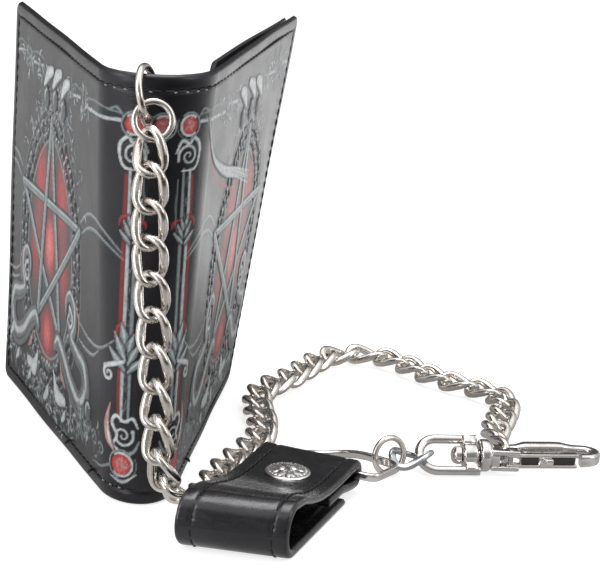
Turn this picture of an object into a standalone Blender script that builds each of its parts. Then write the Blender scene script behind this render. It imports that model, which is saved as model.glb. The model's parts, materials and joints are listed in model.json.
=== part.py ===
"""Chain wallet: a bifold leather wallet standing open on its lower edge, with a curb chain, a swivel snap
hook and a leather belt loop closed by a press stud.

Lengths below are millimetres; MM turns them into the scene's metres. The origin is on the floor, in the
middle of the wallet's spine. The two covers run back from the spine, so the opening faces +Y.
"""
import math

import bmesh
import bpy
import numpy as np
from mathutils import Matrix, Vector

MM = 0.001
GAP = 0.3                       # clearance between pieces that rest on one another

# Wallet
HEIGHT = 110.0
COVER_WIDTH = 90.0
COVER_THICK = 2.2
FOLD_PARING = 1.1               # a cover's inner face starts this much further from its bend
PANEL_THICK = 1.2
SPINE_HALF_LOW = 10.05          # half-width of the spine at its bends, at the floor
SPINE_HALF_HIGH = 14.7          # and at the top edge
SPINE_FRONT = -1.2              # the spine's outer face at the middle, so that the origin is in the leather
SPINE_DEPTH = 10.6              # how far the spine curves back from its middle to its bends
COVER_ANGLE = {"left": 10.6, "right": 20.4}     # degrees out from +Y
COVER_TWIST = {"left": -1.6, "right": 2.7}      # degrees added at the top and taken off at the floor
PANEL_MARGIN = 2.5              # the inner panel stands back from the cover's edges
NOTE_SPACE = 0.9                # the note compartment between a cover and its inner panel
POCKET_STEPS = (34.0, 62.0, 90.0)               # heights of the three card slots' mouths
POCKET_STEP = 0.9               # each slot's leather adds this much

# Rings at the top of the chain
EYELET_HOLE = 2.6
EYELET_FLANGE = 3.4
JUMP_RING = 6.1                 # centreline radius
JUMP_WIRE = 0.95
JUMP_CENTRE = (-3.6, 0.4, 105.6)
JUMP_TURN = 24.0                # degrees that the ring's plane is turned from the YZ plane
JUMP_TILT = 14.0                # degrees that it leans in that plane's normal direction
CHAIN_RING = 4.5
CHAIN_RING_WIRE = 0.95
CHAIN_RING_CENTRE = (-2.4, -3.5, 99.6)
CHAIN_RING_LEAN = 16.0          # degrees that its lower side stands off the spine

# Curb chain
LINK_COUNT = 39
LINK_PITCH = 8.84
LINK_WIRE = 1.05
LINK_PLAY = 0.5                 # slack between two links' wires
LINK_BEND = 3.25                # centreline radius of a link's round ends
LINK_TWIST = 42.0               # degrees of twist at each end
LINK_HALF = LINK_PITCH / 2 + LINK_WIRE + LINK_PLAY / 2
CHAIN_FLOOR = 2.9               # height of the chain's middle where it lies flat
FLOOR_BEND = 19.0               # radius at which the hanging chain turns onto the floor
FIRST_ROLL = 32.0               # degrees that the first link is turned about its length to meet its ring
LAST_ROLL = -54.0               # and the last link, to meet the hook's bar
FIRST_ROLLED = 3                # the first links share the one turn
LAST_ROLLED = 4                 # and the last links the other

# Belt loop
STRAP_CORNER = (3.8, -29.8)     # floor position of its front left corner
STRAP_TURN = 58.5               # degrees from +X to the strap's length
STRAP_WIDTH = 27.0
STRAP_THICK = 2.4
STRAP_SKEW = 6.0                # the right end of the front roll lies this much further back
ROLL_CENTRE = 7.2
ROLL_MID = 6.0
FOLD_AT = 57.3                  # length position and height of the fold round the D-ring's bar
FOLD_HEIGHT = 5.5
FOLD_MID = 2.5
INNER_END = 34.0
FLAP_END = 47.5
STUD_AT = 40.0
STUD_HOLE = 1.6

# D-ring, small ring and connector
D_RING_WIRE = 1.05
D_RING_DIP = 0.06               # how fast the D-ring drops towards its back, as a slope
SMALL_RING = 4.8
SMALL_RING_WIRE = 0.85
SMALL_RING_CENTRE = (67.9, 17.5, 5.9)
SMALL_RING_FIRST = (0.914, 0.407, 0.0)          # two directions in the ring's plane
SMALL_RING_SECOND = (-0.064, 0.143, 0.988)
CONNECTOR_CENTRE = (74.5, 19.6, 4.6)
CONNECTOR_TURN = 20.0
CONNECTOR_TWIST = 42.0

# Hook, placed on its own axis
HOOK_AT = (95.5, 20.8, 4.6)
HOOK_TURN = -2.0
EYE_ROLL = 42.0
BAR_WIDE = 1.35
BAR_HIGH = 1.7

LEATHER = ((0.012, 0.011, 0.012, 1.0), 0.38, 0.0)
LINING = ((0.02, 0.019, 0.02, 1.0), 0.6, 0.0)
NICKEL = ((0.72, 0.69, 0.65, 1.0), 0.18, 1.0)
SILVER = ((0.8, 0.79, 0.77, 1.0), 0.25, 1.0)
STEEL = ((0.45, 0.45, 0.47, 1.0), 0.3, 1.0)


def clear_scene():
    for old in list(bpy.data.objects):
        bpy.data.objects.remove(old, do_unlink=True)


def material_for(name, finish):
    colour, roughness, metallic = finish
    made = bpy.data.materials.new(name)
    made.use_nodes = True
    shader = made.node_tree.nodes["Principled BSDF"]
    shader.inputs["Base Color"].default_value = colour
    shader.inputs["Roughness"].default_value = roughness
    shader.inputs["Metallic"].default_value = metallic
    return made


def add_object(name, points, faces, finish, at=(0, 0, 0)):
    """A closed solid whose origin is at a world point; points are in world millimetres."""
    origin = Vector(at)
    mesh = bpy.data.meshes.new(name)
    mesh.from_pydata([(Vector(p) - origin) * MM for p in points], [], faces)
    bm = bmesh.new()
    bm.from_mesh(mesh)
    bmesh.ops.remove_doubles(bm, verts=bm.verts, dist=1e-7)
    bmesh.ops.recalc_face_normals(bm, faces=bm.faces)
    if bm.calc_volume(signed=True) < 0:
        bmesh.ops.reverse_faces(bm, faces=bm.faces)
    bm.to_mesh(mesh)
    bm.free()
    made = bpy.data.objects.new(name, mesh)
    made.location = origin * MM
    bpy.context.collection.objects.link(made)
    mesh.materials.append(material_for(name, finish))
    mesh.shade_smooth()
    mesh.set_sharp_from_angle(angle=math.radians(40))
    return made


def add_cutter(name, points, faces, target, operation):
    """A hidden solid that a Boolean modifier joins to the target or takes from it."""
    cutter = add_object(name, points, faces, STEEL)
    cutter.hide_render = True
    cutter.display_type = "WIRE"
    change = target.modifiers.new(name, "BOOLEAN")
    change.operation = operation
    change.solver = "EXACT"
    change.object = cutter
    return cutter


def unit(v):
    v = np.asarray(v, float)
    return v / np.linalg.norm(v)


def circle_section(radius, sides):
    turns = [2 * math.pi * (i + 0.5) / sides for i in range(sides)]
    return [(radius * math.cos(t), radius * math.sin(t)) for t in turns]


def oval_section(wide, high, sides):
    return [(a * wide, b * high) for a, b in circle_section(1.0, sides)]


def sweep(path, ups, section, closed):
    """Points and faces of a section swept along a path. ups holds a direction for the section's second axis."""
    path = [np.asarray(p, float) for p in path]
    count, sides = len(path), len(section)
    points, faces = [], []
    for i, here in enumerate(path):
        before = path[i - 1] if closed or i else here
        after = path[(i + 1) % count] if closed or i < count - 1 else here
        along = unit(after - before)
        up = np.asarray(ups[i], float)
        up = unit(up - along * up.dot(along))
        side = np.cross(up, along)
        points += [tuple(here + side * a + up * b) for a, b in section]
    for i in range(count if closed else count - 1):
        near, far = i * sides, ((i + 1) % count) * sides
        for k in range(sides):
            nxt = (k + 1) % sides
            faces.append((near + k, near + nxt, far + nxt, far + k))
    if not closed:
        faces.append(tuple(range(sides)))
        faces.append(tuple(range((count - 1) * sides, count * sides)))
    return points, faces


def revolve(profile, centre, axis, sides):
    """A turned solid. profile lists (distance along the axis, radius); a closed outline off the axis makes a ring."""
    along = unit(axis)
    helper = (0, 0, 1) if abs(along[2]) < 0.9 else (1, 0, 0)
    side = unit(np.cross(along, helper))
    up = np.cross(along, side)
    ring = min(r for _, r in profile) > 0
    points, faces = [], []
    for d, r in profile:
        for k in range(sides):
            turn = 2 * math.pi * k / sides
            offset = side * math.cos(turn) * r + up * math.sin(turn) * r
            points.append(tuple(np.asarray(centre, float) + along * d + offset))
    rows = len(profile)
    for i in range(rows if ring else rows - 1):
        near, far = i * sides, ((i + 1) % rows) * sides
        for k in range(sides):
            nxt = (k + 1) % sides
            faces.append((near + k, near + nxt, far + nxt, far + k))
    return points, faces


def disc_profile(low, high, radius):
    """A plain cylinder's profile, closed on its axis."""
    return [(low, 0.0), (low, radius), (high, radius), (high, 0.0)]


def ring_profile(low, high, inner, outer):
    return [(low, inner), (low, outer), (high, outer), (high, inner)]


def prism(outline, frame, low, high):
    """A flat outline, as (x, y) pairs in a frame, made solid from low to high along the frame's third axis."""
    origin, x_axis, y_axis, z_axis = frame
    count = len(outline)
    points = []
    for level in (low, high):
        points += [tuple(origin + x_axis * a + y_axis * b + z_axis * level) for a, b in outline]
    faces = [tuple(range(count)), tuple(range(count, 2 * count))]
    for i in range(count):
        nxt = (i + 1) % count
        faces.append((i, nxt, count + nxt, count + i))
    return points, faces


def slab(outer, inner):
    """A closed sheet between two grids of points with the same rows and columns."""
    rows, columns = len(outer), len(outer[0])
    points = [p for row in outer for p in row] + [p for row in inner for p in row]
    layer = rows * columns
    faces = []
    for r in range(rows - 1):
        for c in range(columns - 1):
            a, b = r * columns + c, r * columns + c + 1
            faces.append((a, b, b + columns, a + columns))
            faces.append((layer + a, layer + a + columns, layer + b + columns, layer + b))
    rim = [(0, c) for c in range(columns)] + [(r, columns - 1) for r in range(1, rows)]
    rim += [(rows - 1, c) for c in range(columns - 2, -1, -1)] + [(r, 0) for r in range(rows - 2, 0, -1)]
    for i, (r, c) in enumerate(rim):
        r2, c2 = rim[(i + 1) % len(rim)]
        a, b = r * columns + c, r2 * columns + c2
        faces.append((a, b, layer + b, layer + a))
    return points, faces


def smooth_curve(controls, steps):
    """Points along a Catmull-Rom curve through the controls."""
    controls = [np.asarray(c, float) for c in controls]
    padded = [2 * controls[0] - controls[1]] + controls + [2 * controls[-1] - controls[-2]]
    curve = []
    for a, b, c, d in zip(padded, padded[1:], padded[2:], padded[3:]):
        for i in range(steps):
            t = i / steps
            curve.append(0.5 * (2 * b + (c - a) * t + (2 * a - 5 * b + 4 * c - d) * t * t
                                + (3 * b - a - 3 * c + d) * t ** 3))
    curve.append(controls[-1])
    return curve


# The wallet -----------------------------------------------------------------------------------------

def spine_half(z):
    return SPINE_HALF_LOW + (SPINE_HALF_HIGH - SPINE_HALF_LOW) * z / HEIGHT


def cover_angle(side, z):
    return math.radians(COVER_ANGLE[side] + COVER_TWIST[side] * (2 * z / HEIGHT - 1))


def side_sign(side):
    return -1.0 if side == "left" else 1.0


def bend_point(side, z):
    return np.array([side_sign(side) * spine_half(z), SPINE_FRONT + SPINE_DEPTH, z])


def cover_point(side, z, along, inward):
    """A point on a cover: along its width from the bend, and inward from its outer face."""
    angle = cover_angle(side, z)
    sign = side_sign(side)
    run = np.array([sign * math.sin(angle), math.cos(angle), 0.0])
    inside = np.array([-sign * math.cos(angle), math.sin(angle), 0.0])
    return tuple(bend_point(side, z) + run * along + inside * inward)


def spine_point(z, turn, inward):
    """A point on the spine, whose plan is half an oval; turn runs from -1 at the left bend to 1 at the right."""
    half = spine_half(z)
    side = "left" if turn < 0 else "right"
    angle = cover_angle(side, z)
    last = math.atan2(half, SPINE_DEPTH * math.tan(angle))
    reach = half / math.sin(last)
    depth = SPINE_DEPTH / (1 - math.cos(last))
    now = abs(turn) * last
    normal = unit([-depth * math.sin(now), reach * math.cos(now), 0.0])
    place = np.array([reach * math.sin(now), SPINE_FRONT + depth * (1 - math.cos(now)), z])
    place = place + normal * inward
    return (math.copysign(1.0, turn) * place[0], place[1], place[2])


def levels(low, high, count):
    return [low + (high - low) * i / count for i in range(count + 1)]


def build_spine():
    turns = levels(-1.0, 1.0, 12)
    outer = [[spine_point(z, t, 0.0) for t in turns] for z in levels(0.0, HEIGHT, 4)]
    inner = [[spine_point(z, t, COVER_THICK) for t in turns] for z in levels(0.0, HEIGHT, 4)]
    spine = add_object("spine_panel", *slab(outer, inner), LEATHER)
    hole = revolve(disc_profile(-4.0, 4.0, EYELET_HOLE + 0.5 + GAP), eyelet_centre(), (0, 1, 0), 16)
    add_cutter("eyelet_cut", *hole, spine, "DIFFERENCE")


def jump_axes():
    """The jump ring's two in-plane directions: outward to the front, and up."""
    turn, tilt = math.radians(JUMP_TURN), math.radians(JUMP_TILT)
    up = np.array([-math.sin(tilt), 0.0, math.cos(tilt)])
    front = np.array([-math.sin(turn), -math.cos(turn), 0.0])
    front = unit(front - up * front.dot(up))
    return front, up


def eyelet_centre():
    """Where the jump ring's lowest part meets the middle of the spine's leather."""
    low = np.asarray(JUMP_CENTRE) - jump_axes()[1] * JUMP_RING
    middle = SPINE_FRONT + COVER_THICK / 2
    bulge = spine_point(low[2], low[0] / spine_half(low[2]), 0.0)[1] - SPINE_FRONT
    return (low[0], middle + bulge, low[2])


def build_cover(side):
    """One cover, its inner edge pared back so that it can fold in past the spine."""
    hinge = bend_point(side, 0.0)
    heights = levels(0.0, HEIGHT, 4)
    outer = [[cover_point(side, z, a, 0.0) for a in levels(GAP, COVER_WIDTH, 3)] for z in heights]
    inner = [[cover_point(side, z, a, COVER_THICK) for a in levels(GAP + FOLD_PARING, COVER_WIDTH, 3)]
             for z in heights]
    add_object("cover_" + side, *slab(outer, inner), LEATHER, at=hinge)
    build_inner_panel(side, COVER_THICK + NOTE_SPACE, hinge)


def build_inner_panel(side, base, hinge):
    """The panel inside a cover, stepped where its card slots lie one behind another."""
    low, high = PANEL_MARGIN, HEIGHT - PANEL_MARGIN
    depth = base + PANEL_THICK + POCKET_STEP * len(POCKET_STEPS)
    rows = [(low, depth)]
    for top in sorted(POCKET_STEPS):
        rows.append((top, depth))
        depth -= POCKET_STEP
        rows.append((top, depth))
    rows.append((high, depth))
    across = levels(PANEL_MARGIN, COVER_WIDTH - PANEL_MARGIN, 3)
    outer = [[cover_point(side, z, a, base) for a in across] for z, _ in rows]
    inner = [[cover_point(side, z, a, face) for a in across] for z, face in rows]
    add_object("inner_panel_" + side, *slab(outer, inner), LINING, at=hinge)


# Rings and chain ------------------------------------------------------------------------------------

def round_ring(centre, first, second, radius, wire, steps, sides):
    """A ring of round wire in the plane of two directions."""
    turns = [2 * math.pi * i / steps for i in range(steps)]
    centre = np.asarray(centre, float)
    path = [centre + first * radius * math.cos(t) + second * radius * math.sin(t) for t in turns]
    normal = np.cross(first, second)
    return sweep(path, [normal] * steps, circle_section(wire, sides), True)


def build_rings():
    reach = COVER_THICK / 2
    back = reach + 4 * GAP
    outline = [(-reach, EYELET_HOLE), (-reach, EYELET_HOLE + 0.5), (back, EYELET_HOLE + 0.5),
               (back, EYELET_FLANGE), (back + 0.6, EYELET_FLANGE), (back + 0.6, EYELET_HOLE)]
    add_object("eyelet", *revolve(outline, eyelet_centre(), (0, 1, 0), 16), NICKEL, at=eyelet_centre())
    front, up = jump_axes()
    ring = round_ring(JUMP_CENTRE, front, up, JUMP_RING, JUMP_WIRE, 24, 8)
    add_object("jump_ring", *ring, NICKEL, at=JUMP_CENTRE)
    lean = math.radians(CHAIN_RING_LEAN)
    ring = round_ring(CHAIN_RING_CENTRE, np.array([1.0, 0, 0]), np.array([0, math.sin(lean), math.cos(lean)]),
                      CHAIN_RING, CHAIN_RING_WIRE, 20, 8)
    add_object("chain_ring", *ring, NICKEL, at=CHAIN_RING_CENTRE)


def link_shape(centre, along, normal, twist=LINK_TWIST, steps=5, sides=6):
    """A twisted curb link: a loop with straight sides and round ends, turned about its length."""
    along = unit(along)
    normal = unit(np.asarray(normal, float) - along * np.dot(normal, along))
    across = np.cross(normal, along)
    straight = LINK_HALF - LINK_BEND
    flat = []
    for end in (1, -1):
        for i in range(steps + 1):
            turn = -math.pi / 2 + math.pi * i / steps
            flat.append((end * (straight + LINK_BEND * math.cos(turn)), end * LINK_BEND * math.sin(turn)))
    flat_mid = []
    for i, (a, b) in enumerate(flat):
        flat_mid.append((a, b))
        a2, b2 = flat[(i + 1) % len(flat)]
        if abs(b - b2) < 1e-9:
            flat_mid.append(((a + a2) / 2, b))
    path, ups = [], []
    for a, b in flat_mid:
        turn = -math.radians(twist) * a / LINK_HALF
        path.append(np.asarray(centre, float) + along * a
                    + (across * math.cos(turn) + normal * math.sin(turn)) * b)
        ups.append(normal * math.cos(turn) - across * math.sin(turn))
    return sweep(path, ups, circle_section(LINK_WIRE, sides), True)


def chain_controls():
    """The chain's run: down the front of the spine, then over the floor to the hook."""
    hanging = [(-3.3, -4.0, 96.7), (-2.9, -7.5, 88.6), (-2.6, -8.6, 73.0), (-1.0, -9.6, 55.0),
               (0.3, -11.6, 38.0), (1.2, -14.4, FLOOR_BEND + CHAIN_FLOOR + 1.0)]
    for i in range(1, 4):
        turn = math.pi / 8 * i
        run = FLOOR_BEND * (1 - math.cos(turn))
        hanging.append((1.5 + 0.7 * run, -15.0 + 0.71 * run, CHAIN_FLOOR + FLOOR_BEND * (1 - math.sin(turn))))
    floor = [(14.1, -2.4), (19.6, 8.5), (25.8, 20.6), (33.4, 32.2), (38.0, 41.5), (39.7, 52.0),
             (40.2, 64.0), (42.3, 73.5), (47.2, 80.6), (53.6, 86.5), (59.4, 94.4), (64.6, 101.6),
             (70.1, 107.4), (77.8, 109.4), (85.4, 107.5), (90.9, 101.7), (94.8, 94.2),
             (99.4, 87.0), (105.2, 81.8), (111.0, 77.0), (114.2, 70.4), (113.7, 62.8), (110.6, 55.6),
             (106.2, 47.0), (102.9, 38.0)]
    return hanging + [(x, y, CHAIN_FLOOR) for x, y in floor] + [chain_end()]


def chain_end():
    """Where the last link's wire rests on the hook's solid side."""
    return tuple(hook_point(5.8, 1.5, 0.0))


def chain_joints():
    """Points between neighbouring links, one pitch apart along the chain's run."""
    curve = smooth_curve(chain_controls(), 40)
    joints = [curve[0]]
    for start, end in zip(curve, curve[1:]):
        while len(joints) <= LINK_COUNT and np.linalg.norm(end - joints[-1]) >= LINK_PITCH:
            low, high = 0.0, 1.0
            for _ in range(30):
                middle = (low + high) / 2
                here = start + (end - start) * middle
                if np.linalg.norm(here - joints[-1]) < LINK_PITCH:
                    low = middle
                else:
                    high = middle
            joints.append(start + (end - start) * high)
    return joints


def link_normal(height):
    """The way a link's flat face looks: forward while it hangs, down where it lies on the floor."""
    lying = min(1.0, max(0.0, (16.0 - height) / 12.0))
    return np.array([0.0, -(1 - lying), -lying])


def link_roll(number):
    """How far a link is turned about its length, in degrees, to meet the ring and the hook's bar."""
    from_top = max(0, FIRST_ROLLED + 1 - number) / FIRST_ROLLED
    to_hook = max(0, number - LINK_COUNT + LAST_ROLLED) / LAST_ROLLED
    return FIRST_ROLL * from_top + LAST_ROLL * to_hook


def build_chain():
    joints = chain_joints()
    for i, (start, end) in enumerate(zip(joints, joints[1:])):
        turned = Matrix.Rotation(math.radians(link_roll(i + 1)), 3, Vector(end - start))
        normal = np.array(turned @ Vector(link_normal((start[2] + end[2]) / 2)))
        shape = link_shape((start + end) / 2, end - start, normal)
        add_object(f"link_{i + 1:02d}", *shape, NICKEL, at=start)


# Belt loop ------------------------------------------------------------------------------------------

def strap_axes():
    turn = math.radians(STRAP_TURN)
    return (np.array([math.cos(turn), math.sin(turn), 0.0]), np.array([math.sin(turn), -math.cos(turn), 0.0]))


def strap_point(s, z, w):
    """A point of the loop: s along it from the front, z above the floor, w across it from the left edge."""
    along, across = strap_axes()
    skew = STRAP_SKEW * w / STRAP_WIDTH * max(0.0, 1.0 - s / 55.0)
    return np.array([*STRAP_CORNER, 0.0]) + along * (s + skew) + across * w + np.array([0.0, 0.0, z])


def arc(centre, radius, start, end, steps):
    """Points of an arc in the side view, in degrees; 0 points back and 90 up."""
    turns = [math.radians(start + (end - start) * i / steps) for i in range(steps + 1)]
    return [(centre[0] + radius * math.cos(t), centre[1] + radius * math.sin(t)) for t in turns]


def top_run():
    """Side view of the strap's middle: up round the front roll, back over the top, round the D-ring's bar."""
    line = arc((ROLL_CENTRE, ROLL_CENTRE), ROLL_MID, 180, 75, 6)
    line += [(14.0, 12.4), (20.0, 10.7), (27.0, 9.1), (34.0, 8.25), (STUD_AT, 8.0), (48.0, 8.0)]
    line += arc((FOLD_AT, FOLD_HEIGHT), FOLD_MID, 90, -90, 6)
    line += [(51.5, 3.9), (46.0, 4.9), (STUD_AT, 5.0), (INNER_END, 5.0)]
    return [np.array([s, z]) for s, z in line]


def flap_run():
    line = arc((ROLL_CENTRE, ROLL_CENTRE), ROLL_MID, 180, 270, 5)
    line += [(24.0, STRAP_THICK / 2), (STUD_AT, STRAP_THICK / 2), (FLAP_END, STRAP_THICK / 2)]
    return [np.array([s, z]) for s, z in line]


def strap_sheet(run, shift):
    """The loop's leather along a run, with half its thickness on each side; shift trims its first end."""
    rows_out, rows_in = [], []
    for i, here in enumerate(run):
        before, after = run[max(i - 1, 0)], run[min(i + 1, len(run) - 1)]
        along = unit(after - before)
        if i == 0:
            along = np.array([0.0, math.copysign(1.0, after[1] - here[1])])
            here = here + along * shift
        normal = np.array([-along[1], along[0]]) * STRAP_THICK / 2
        for rows, sign in ((rows_out, 1), (rows_in, -1)):
            s, z = here + normal * sign
            rows.append([tuple(strap_point(s, z, w)) for w in (0.0, STRAP_WIDTH / 2, STRAP_WIDTH)])
    return slab(rows_out, rows_in)


def stud_point(z):
    return strap_point(STUD_AT, z, STRAP_WIDTH / 2)


def build_belt_loop():
    bar = strap_point(FOLD_AT, FOLD_HEIGHT, STRAP_WIDTH / 2)
    front = strap_point(0.0, ROLL_CENTRE, STRAP_WIDTH / 2)
    strap = add_object("strap", *strap_sheet(top_run(), GAP / 2), LEATHER, at=bar)
    flap = add_object("strap_flap", *strap_sheet(flap_run(), GAP / 2), LEATHER, at=front)
    up = (0, 0, 1)
    hole = revolve(disc_profile(3.2, 10.5, STUD_HOLE + GAP), stud_point(0.0), up, 12)
    add_cutter("stud_cut_top", *hole, strap, "DIFFERENCE")
    hole = revolve(disc_profile(-1.0, 3.2, STUD_HOLE + GAP), stud_point(0.0), up, 12)
    add_cutter("stud_cut_flap", *hole, flap, "DIFFERENCE")
    top = 8.0 + STRAP_THICK / 2 + 1.5 * GAP
    cap = [(4.2, 0.0), (4.2, STUD_HOLE), (top, STUD_HOLE), (top, 5.8), (top + 0.5, 5.8),
           (top + 1.1, 4.6), (top + 1.5, 2.4), (top + 1.6, 0.0)]
    add_object("snap_cap", *revolve(cap, stud_point(0.0), up, 20), SILVER, at=stud_point(top))
    socket = ring_profile(2.75, 3.5, 2.1, 4.4)
    add_object("snap_socket", *revolve(socket, stud_point(0.0), up, 16), NICKEL, at=stud_point(2.75))
    stud = [(0.1, 0.0), (0.1, STUD_HOLE), (2.6, STUD_HOLE), (3.3, STUD_HOLE - 0.15), (3.7, 0.9), (3.75, 0.0)]
    add_object("snap_stud", *revolve(stud, stud_point(0.0), up, 12), NICKEL, at=stud_point(0.0))


# D-ring, small ring and connector -------------------------------------------------------------------

def rounded_loop(corners, radii, steps):
    """A flat closed loop through corners, each rounded to its radius, as points in the corners' plane."""
    loop = []
    count = len(corners)
    for i, here in enumerate(corners):
        here = np.asarray(here, float)
        before = unit(np.asarray(corners[i - 1], float) - here)
        after = unit(np.asarray(corners[(i + 1) % count], float) - here)
        half = math.acos(max(-1.0, min(1.0, before.dot(after)))) / 2
        reach = radii[i] / math.tan(half)
        middle = here + unit(before + after) * radii[i] / math.sin(half)
        start, end = here + before * reach - middle, here + after * reach - middle
        sweep_angle = math.atan2(start[0] * end[1] - start[1] * end[0], start.dot(end))
        for k in range(steps + 1):
            t = sweep_angle * k / steps
            turn = np.array([[math.cos(t), -math.sin(t)], [math.sin(t), math.cos(t)]])
            loop.append(middle + turn @ start)
    return loop


def d_ring_point(s, w):
    """The D-ring's plane holds its bar and dips a little towards the back."""
    return strap_point(s, FOLD_HEIGHT - D_RING_DIP * (s - FOLD_AT), w)


def build_d_ring():
    corners = [(FOLD_AT, -1.6), (FOLD_AT, 31.6), (70.8, 34.2), (75.5, 17.0), (67.0, -1.6)]
    loop = rounded_loop(corners, [2.0, 2.6, 4.5, 9.0, 6.0], 4)
    path = [d_ring_point(s, w) for s, w in loop]
    ups = [np.array([0.0, 0.0, 1.0])] * len(path)
    shape = sweep(path, ups, circle_section(D_RING_WIRE, 8), True)
    add_object("d_ring", *shape, NICKEL, at=strap_point(FOLD_AT, FOLD_HEIGHT, STRAP_WIDTH / 2))


def small_ring_axes():
    first = unit(SMALL_RING_FIRST)
    second = np.asarray(SMALL_RING_SECOND, float)
    return first, unit(second - first * second.dot(first))


def build_links_to_hook():
    first, second = small_ring_axes()
    ring = round_ring(SMALL_RING_CENTRE, first, second, SMALL_RING, SMALL_RING_WIRE, 20, 8)
    add_object("small_ring", *ring, NICKEL, at=SMALL_RING_CENTRE)
    turn = math.radians(CONNECTOR_TURN)
    along = (math.cos(turn), math.sin(turn), 0.0)
    shape = link_shape(CONNECTOR_CENTRE, along, (0, 0, 1), CONNECTOR_TWIST, 6, 8)
    add_object("connector_link", *shape, STEEL, at=CONNECTOR_CENTRE)


# Snap hook ------------------------------------------------------------------------------------------

def hook_axes():
    turn = math.radians(HOOK_TURN)
    return (np.array([math.cos(turn), math.sin(turn), 0.0]), np.array([-math.sin(turn), math.cos(turn), 0.0]),
            np.array([0.0, 0.0, 1.0]))


def hook_point(a, b, c):
    """A point on the hook: a along its length, b to its solid side, c up."""
    along, aside, up = hook_axes()
    return np.asarray(HOOK_AT, float) + along * a + aside * b + up * c


def hook_frame():
    along, aside, up = hook_axes()
    return (np.asarray(HOOK_AT, float), along, aside, up)


def eye_axes():
    """The swivel eye's own flat directions, rolled about the hook's length."""
    along, aside, up = hook_axes()
    roll = math.radians(EYE_ROLL)
    return along, aside * math.cos(roll) + up * math.sin(roll), up * math.cos(roll) - aside * math.sin(roll)


def build_swivel_eye():
    along, wide, thin = eye_axes()
    centre = np.asarray(HOOK_AT, float)
    outline = [(-2.2, -4.7), (-6.0, -4.7), (-10.0, -4.7)]
    outline += [(-13.6 - 4.7 * math.sin(t), -4.7 * math.cos(t))
                for t in [math.pi * i / 8 for i in range(9)]]
    outline += [(-10.0, 4.7), (-6.0, 4.7), (-2.2, 4.7)]
    path = [centre + along * a + wide * b for a, b in outline]
    bail = sweep(path, [thin] * len(path), circle_section(1.25, 8), False)
    eye = add_object("swivel_eye", *bail, NICKEL, at=HOOK_AT)
    barrel = prism([(-6.4, -4.6), (-2.6, -4.6), (-2.6, 4.6), (-6.4, 4.6)],
                   (centre, along, wide, thin), -1.9, 1.9)
    add_cutter("eye_block", *barrel, eye, "UNION")
    drum = revolve(disc_profile(-6.6, -2.4, 3.3), HOOK_AT, along, 16)
    add_cutter("eye_drum", *drum, eye, "UNION")
    bore = revolve(disc_profile(-8.0, -1.0, 1.7), HOOK_AT, along, 16)
    add_cutter("eye_bore", *bore, eye, "DIFFERENCE")


def hook_run():
    """Plan of the solid side and nose, as (along, aside) points."""
    run = [(0.4, 1.6), (2.6, 2.7), (5.5, 3.2), (9.0, 3.3), (14.0, 3.4), (20.0, 3.5), (25.0, 3.3)]
    run += [(26.5 + 4.0 * math.sin(t), 3.1 * math.cos(t)) for t in [math.pi * i / 8 for i in range(1, 8)]]
    run += [(25.6, -3.2)]
    return run


def build_hook():
    along, aside, up = hook_axes()
    path = [hook_point(a, b, 0.0) for a, b in hook_run()]
    bar = sweep(path, [up] * len(path), oval_section(BAR_WIDE, BAR_HIGH, 8), False)
    body = add_object("snap_hook_body", *bar, NICKEL, at=HOOK_AT)
    outline = [(-9.6, 0.0), (-9.3, 1.6), (-8.6, 2.3), (-7.0, 2.5), (-6.9, 1.35), (-2.0, 1.35), (-2.0, 4.1),
               (-1.4, 4.4), (0.4, 4.4), (1.0, 4.0), (1.8, 3.0), (3.0, 2.2), (3.0, 0.0)]
    add_cutter("hook_collar", *revolve(outline, HOOK_AT, along, 16), body, "UNION")
    cheeks = [(0.8, -4.4), (8.4, -4.9), (8.4, -1.2), (3.6, -1.0), (2.4, 0.4), (0.8, 1.4)]
    add_cutter("hook_cheeks", *prism(cheeks, hook_frame(), -2.9, 2.9), body, "UNION")
    slot = [(3.0, -6.0), (9.5, -6.0), (9.5, -0.2), (3.0, -0.2)]
    add_cutter("hook_slot", *prism(slot, hook_frame(), -1.6, 1.6), body, "DIFFERENCE")
    bore = revolve(disc_profile(-4.0, 4.0, 1.0), gate_pivot(), up, 12)
    add_cutter("hook_pin_bore", *bore, body, "DIFFERENCE")


def gate_pivot():
    return hook_point(6.2, -3.1, 0.0)


def build_gate():
    up = hook_axes()[2]
    lever = [(5.0, -2.1), (4.8, -3.1), (5.2, -4.2), (6.2, -4.6), (13.0, -4.5), (15.6, -6.4), (17.2, -6.4),
             (17.2, -4.4), (24.6, -4.3), (24.6, -2.2), (12.0, -2.0), (7.4, -1.9)]
    gate = add_object("snap_hook_gate", *prism(lever, hook_frame(), -1.3, 1.3), NICKEL, at=gate_pivot())
    bore = revolve(disc_profile(-2.0, 2.0, 1.0), gate_pivot(), up, 12)
    add_cutter("gate_bore", *bore, gate, "DIFFERENCE")
    pin = revolve(disc_profile(-2.9, 2.9, 0.7), gate_pivot(), up, 12)
    add_object("gate_pin", *pin, STEEL, at=gate_pivot())


def build_gate_spring():
    """A small coil in the slot that presses on the gate's heel."""
    turns, steps = 2.5, 30
    start = np.array([3.5, -1.15])
    path = []
    for i in range(steps + 1):
        t = 2 * math.pi * turns * i / steps
        path.append(hook_point(start[0] + 3.2 * i / steps, start[1] + 0.3 * math.cos(t), 0.8 * math.sin(t)))
    along = hook_axes()[0]
    add_object("gate_spring", *sweep(path, [along] * len(path), circle_section(0.18, 5), False), STEEL,
               at=hook_point(3.5, -1.15, 0.0))


def build():
    clear_scene()
    build_spine()
    build_cover("left")
    build_cover("right")
    build_rings()
    build_chain()
    build_belt_loop()
    build_d_ring()
    build_links_to_hook()
    build_swivel_eye()
    build_hook()
    build_gate()
    build_gate_spring()


build()
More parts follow.
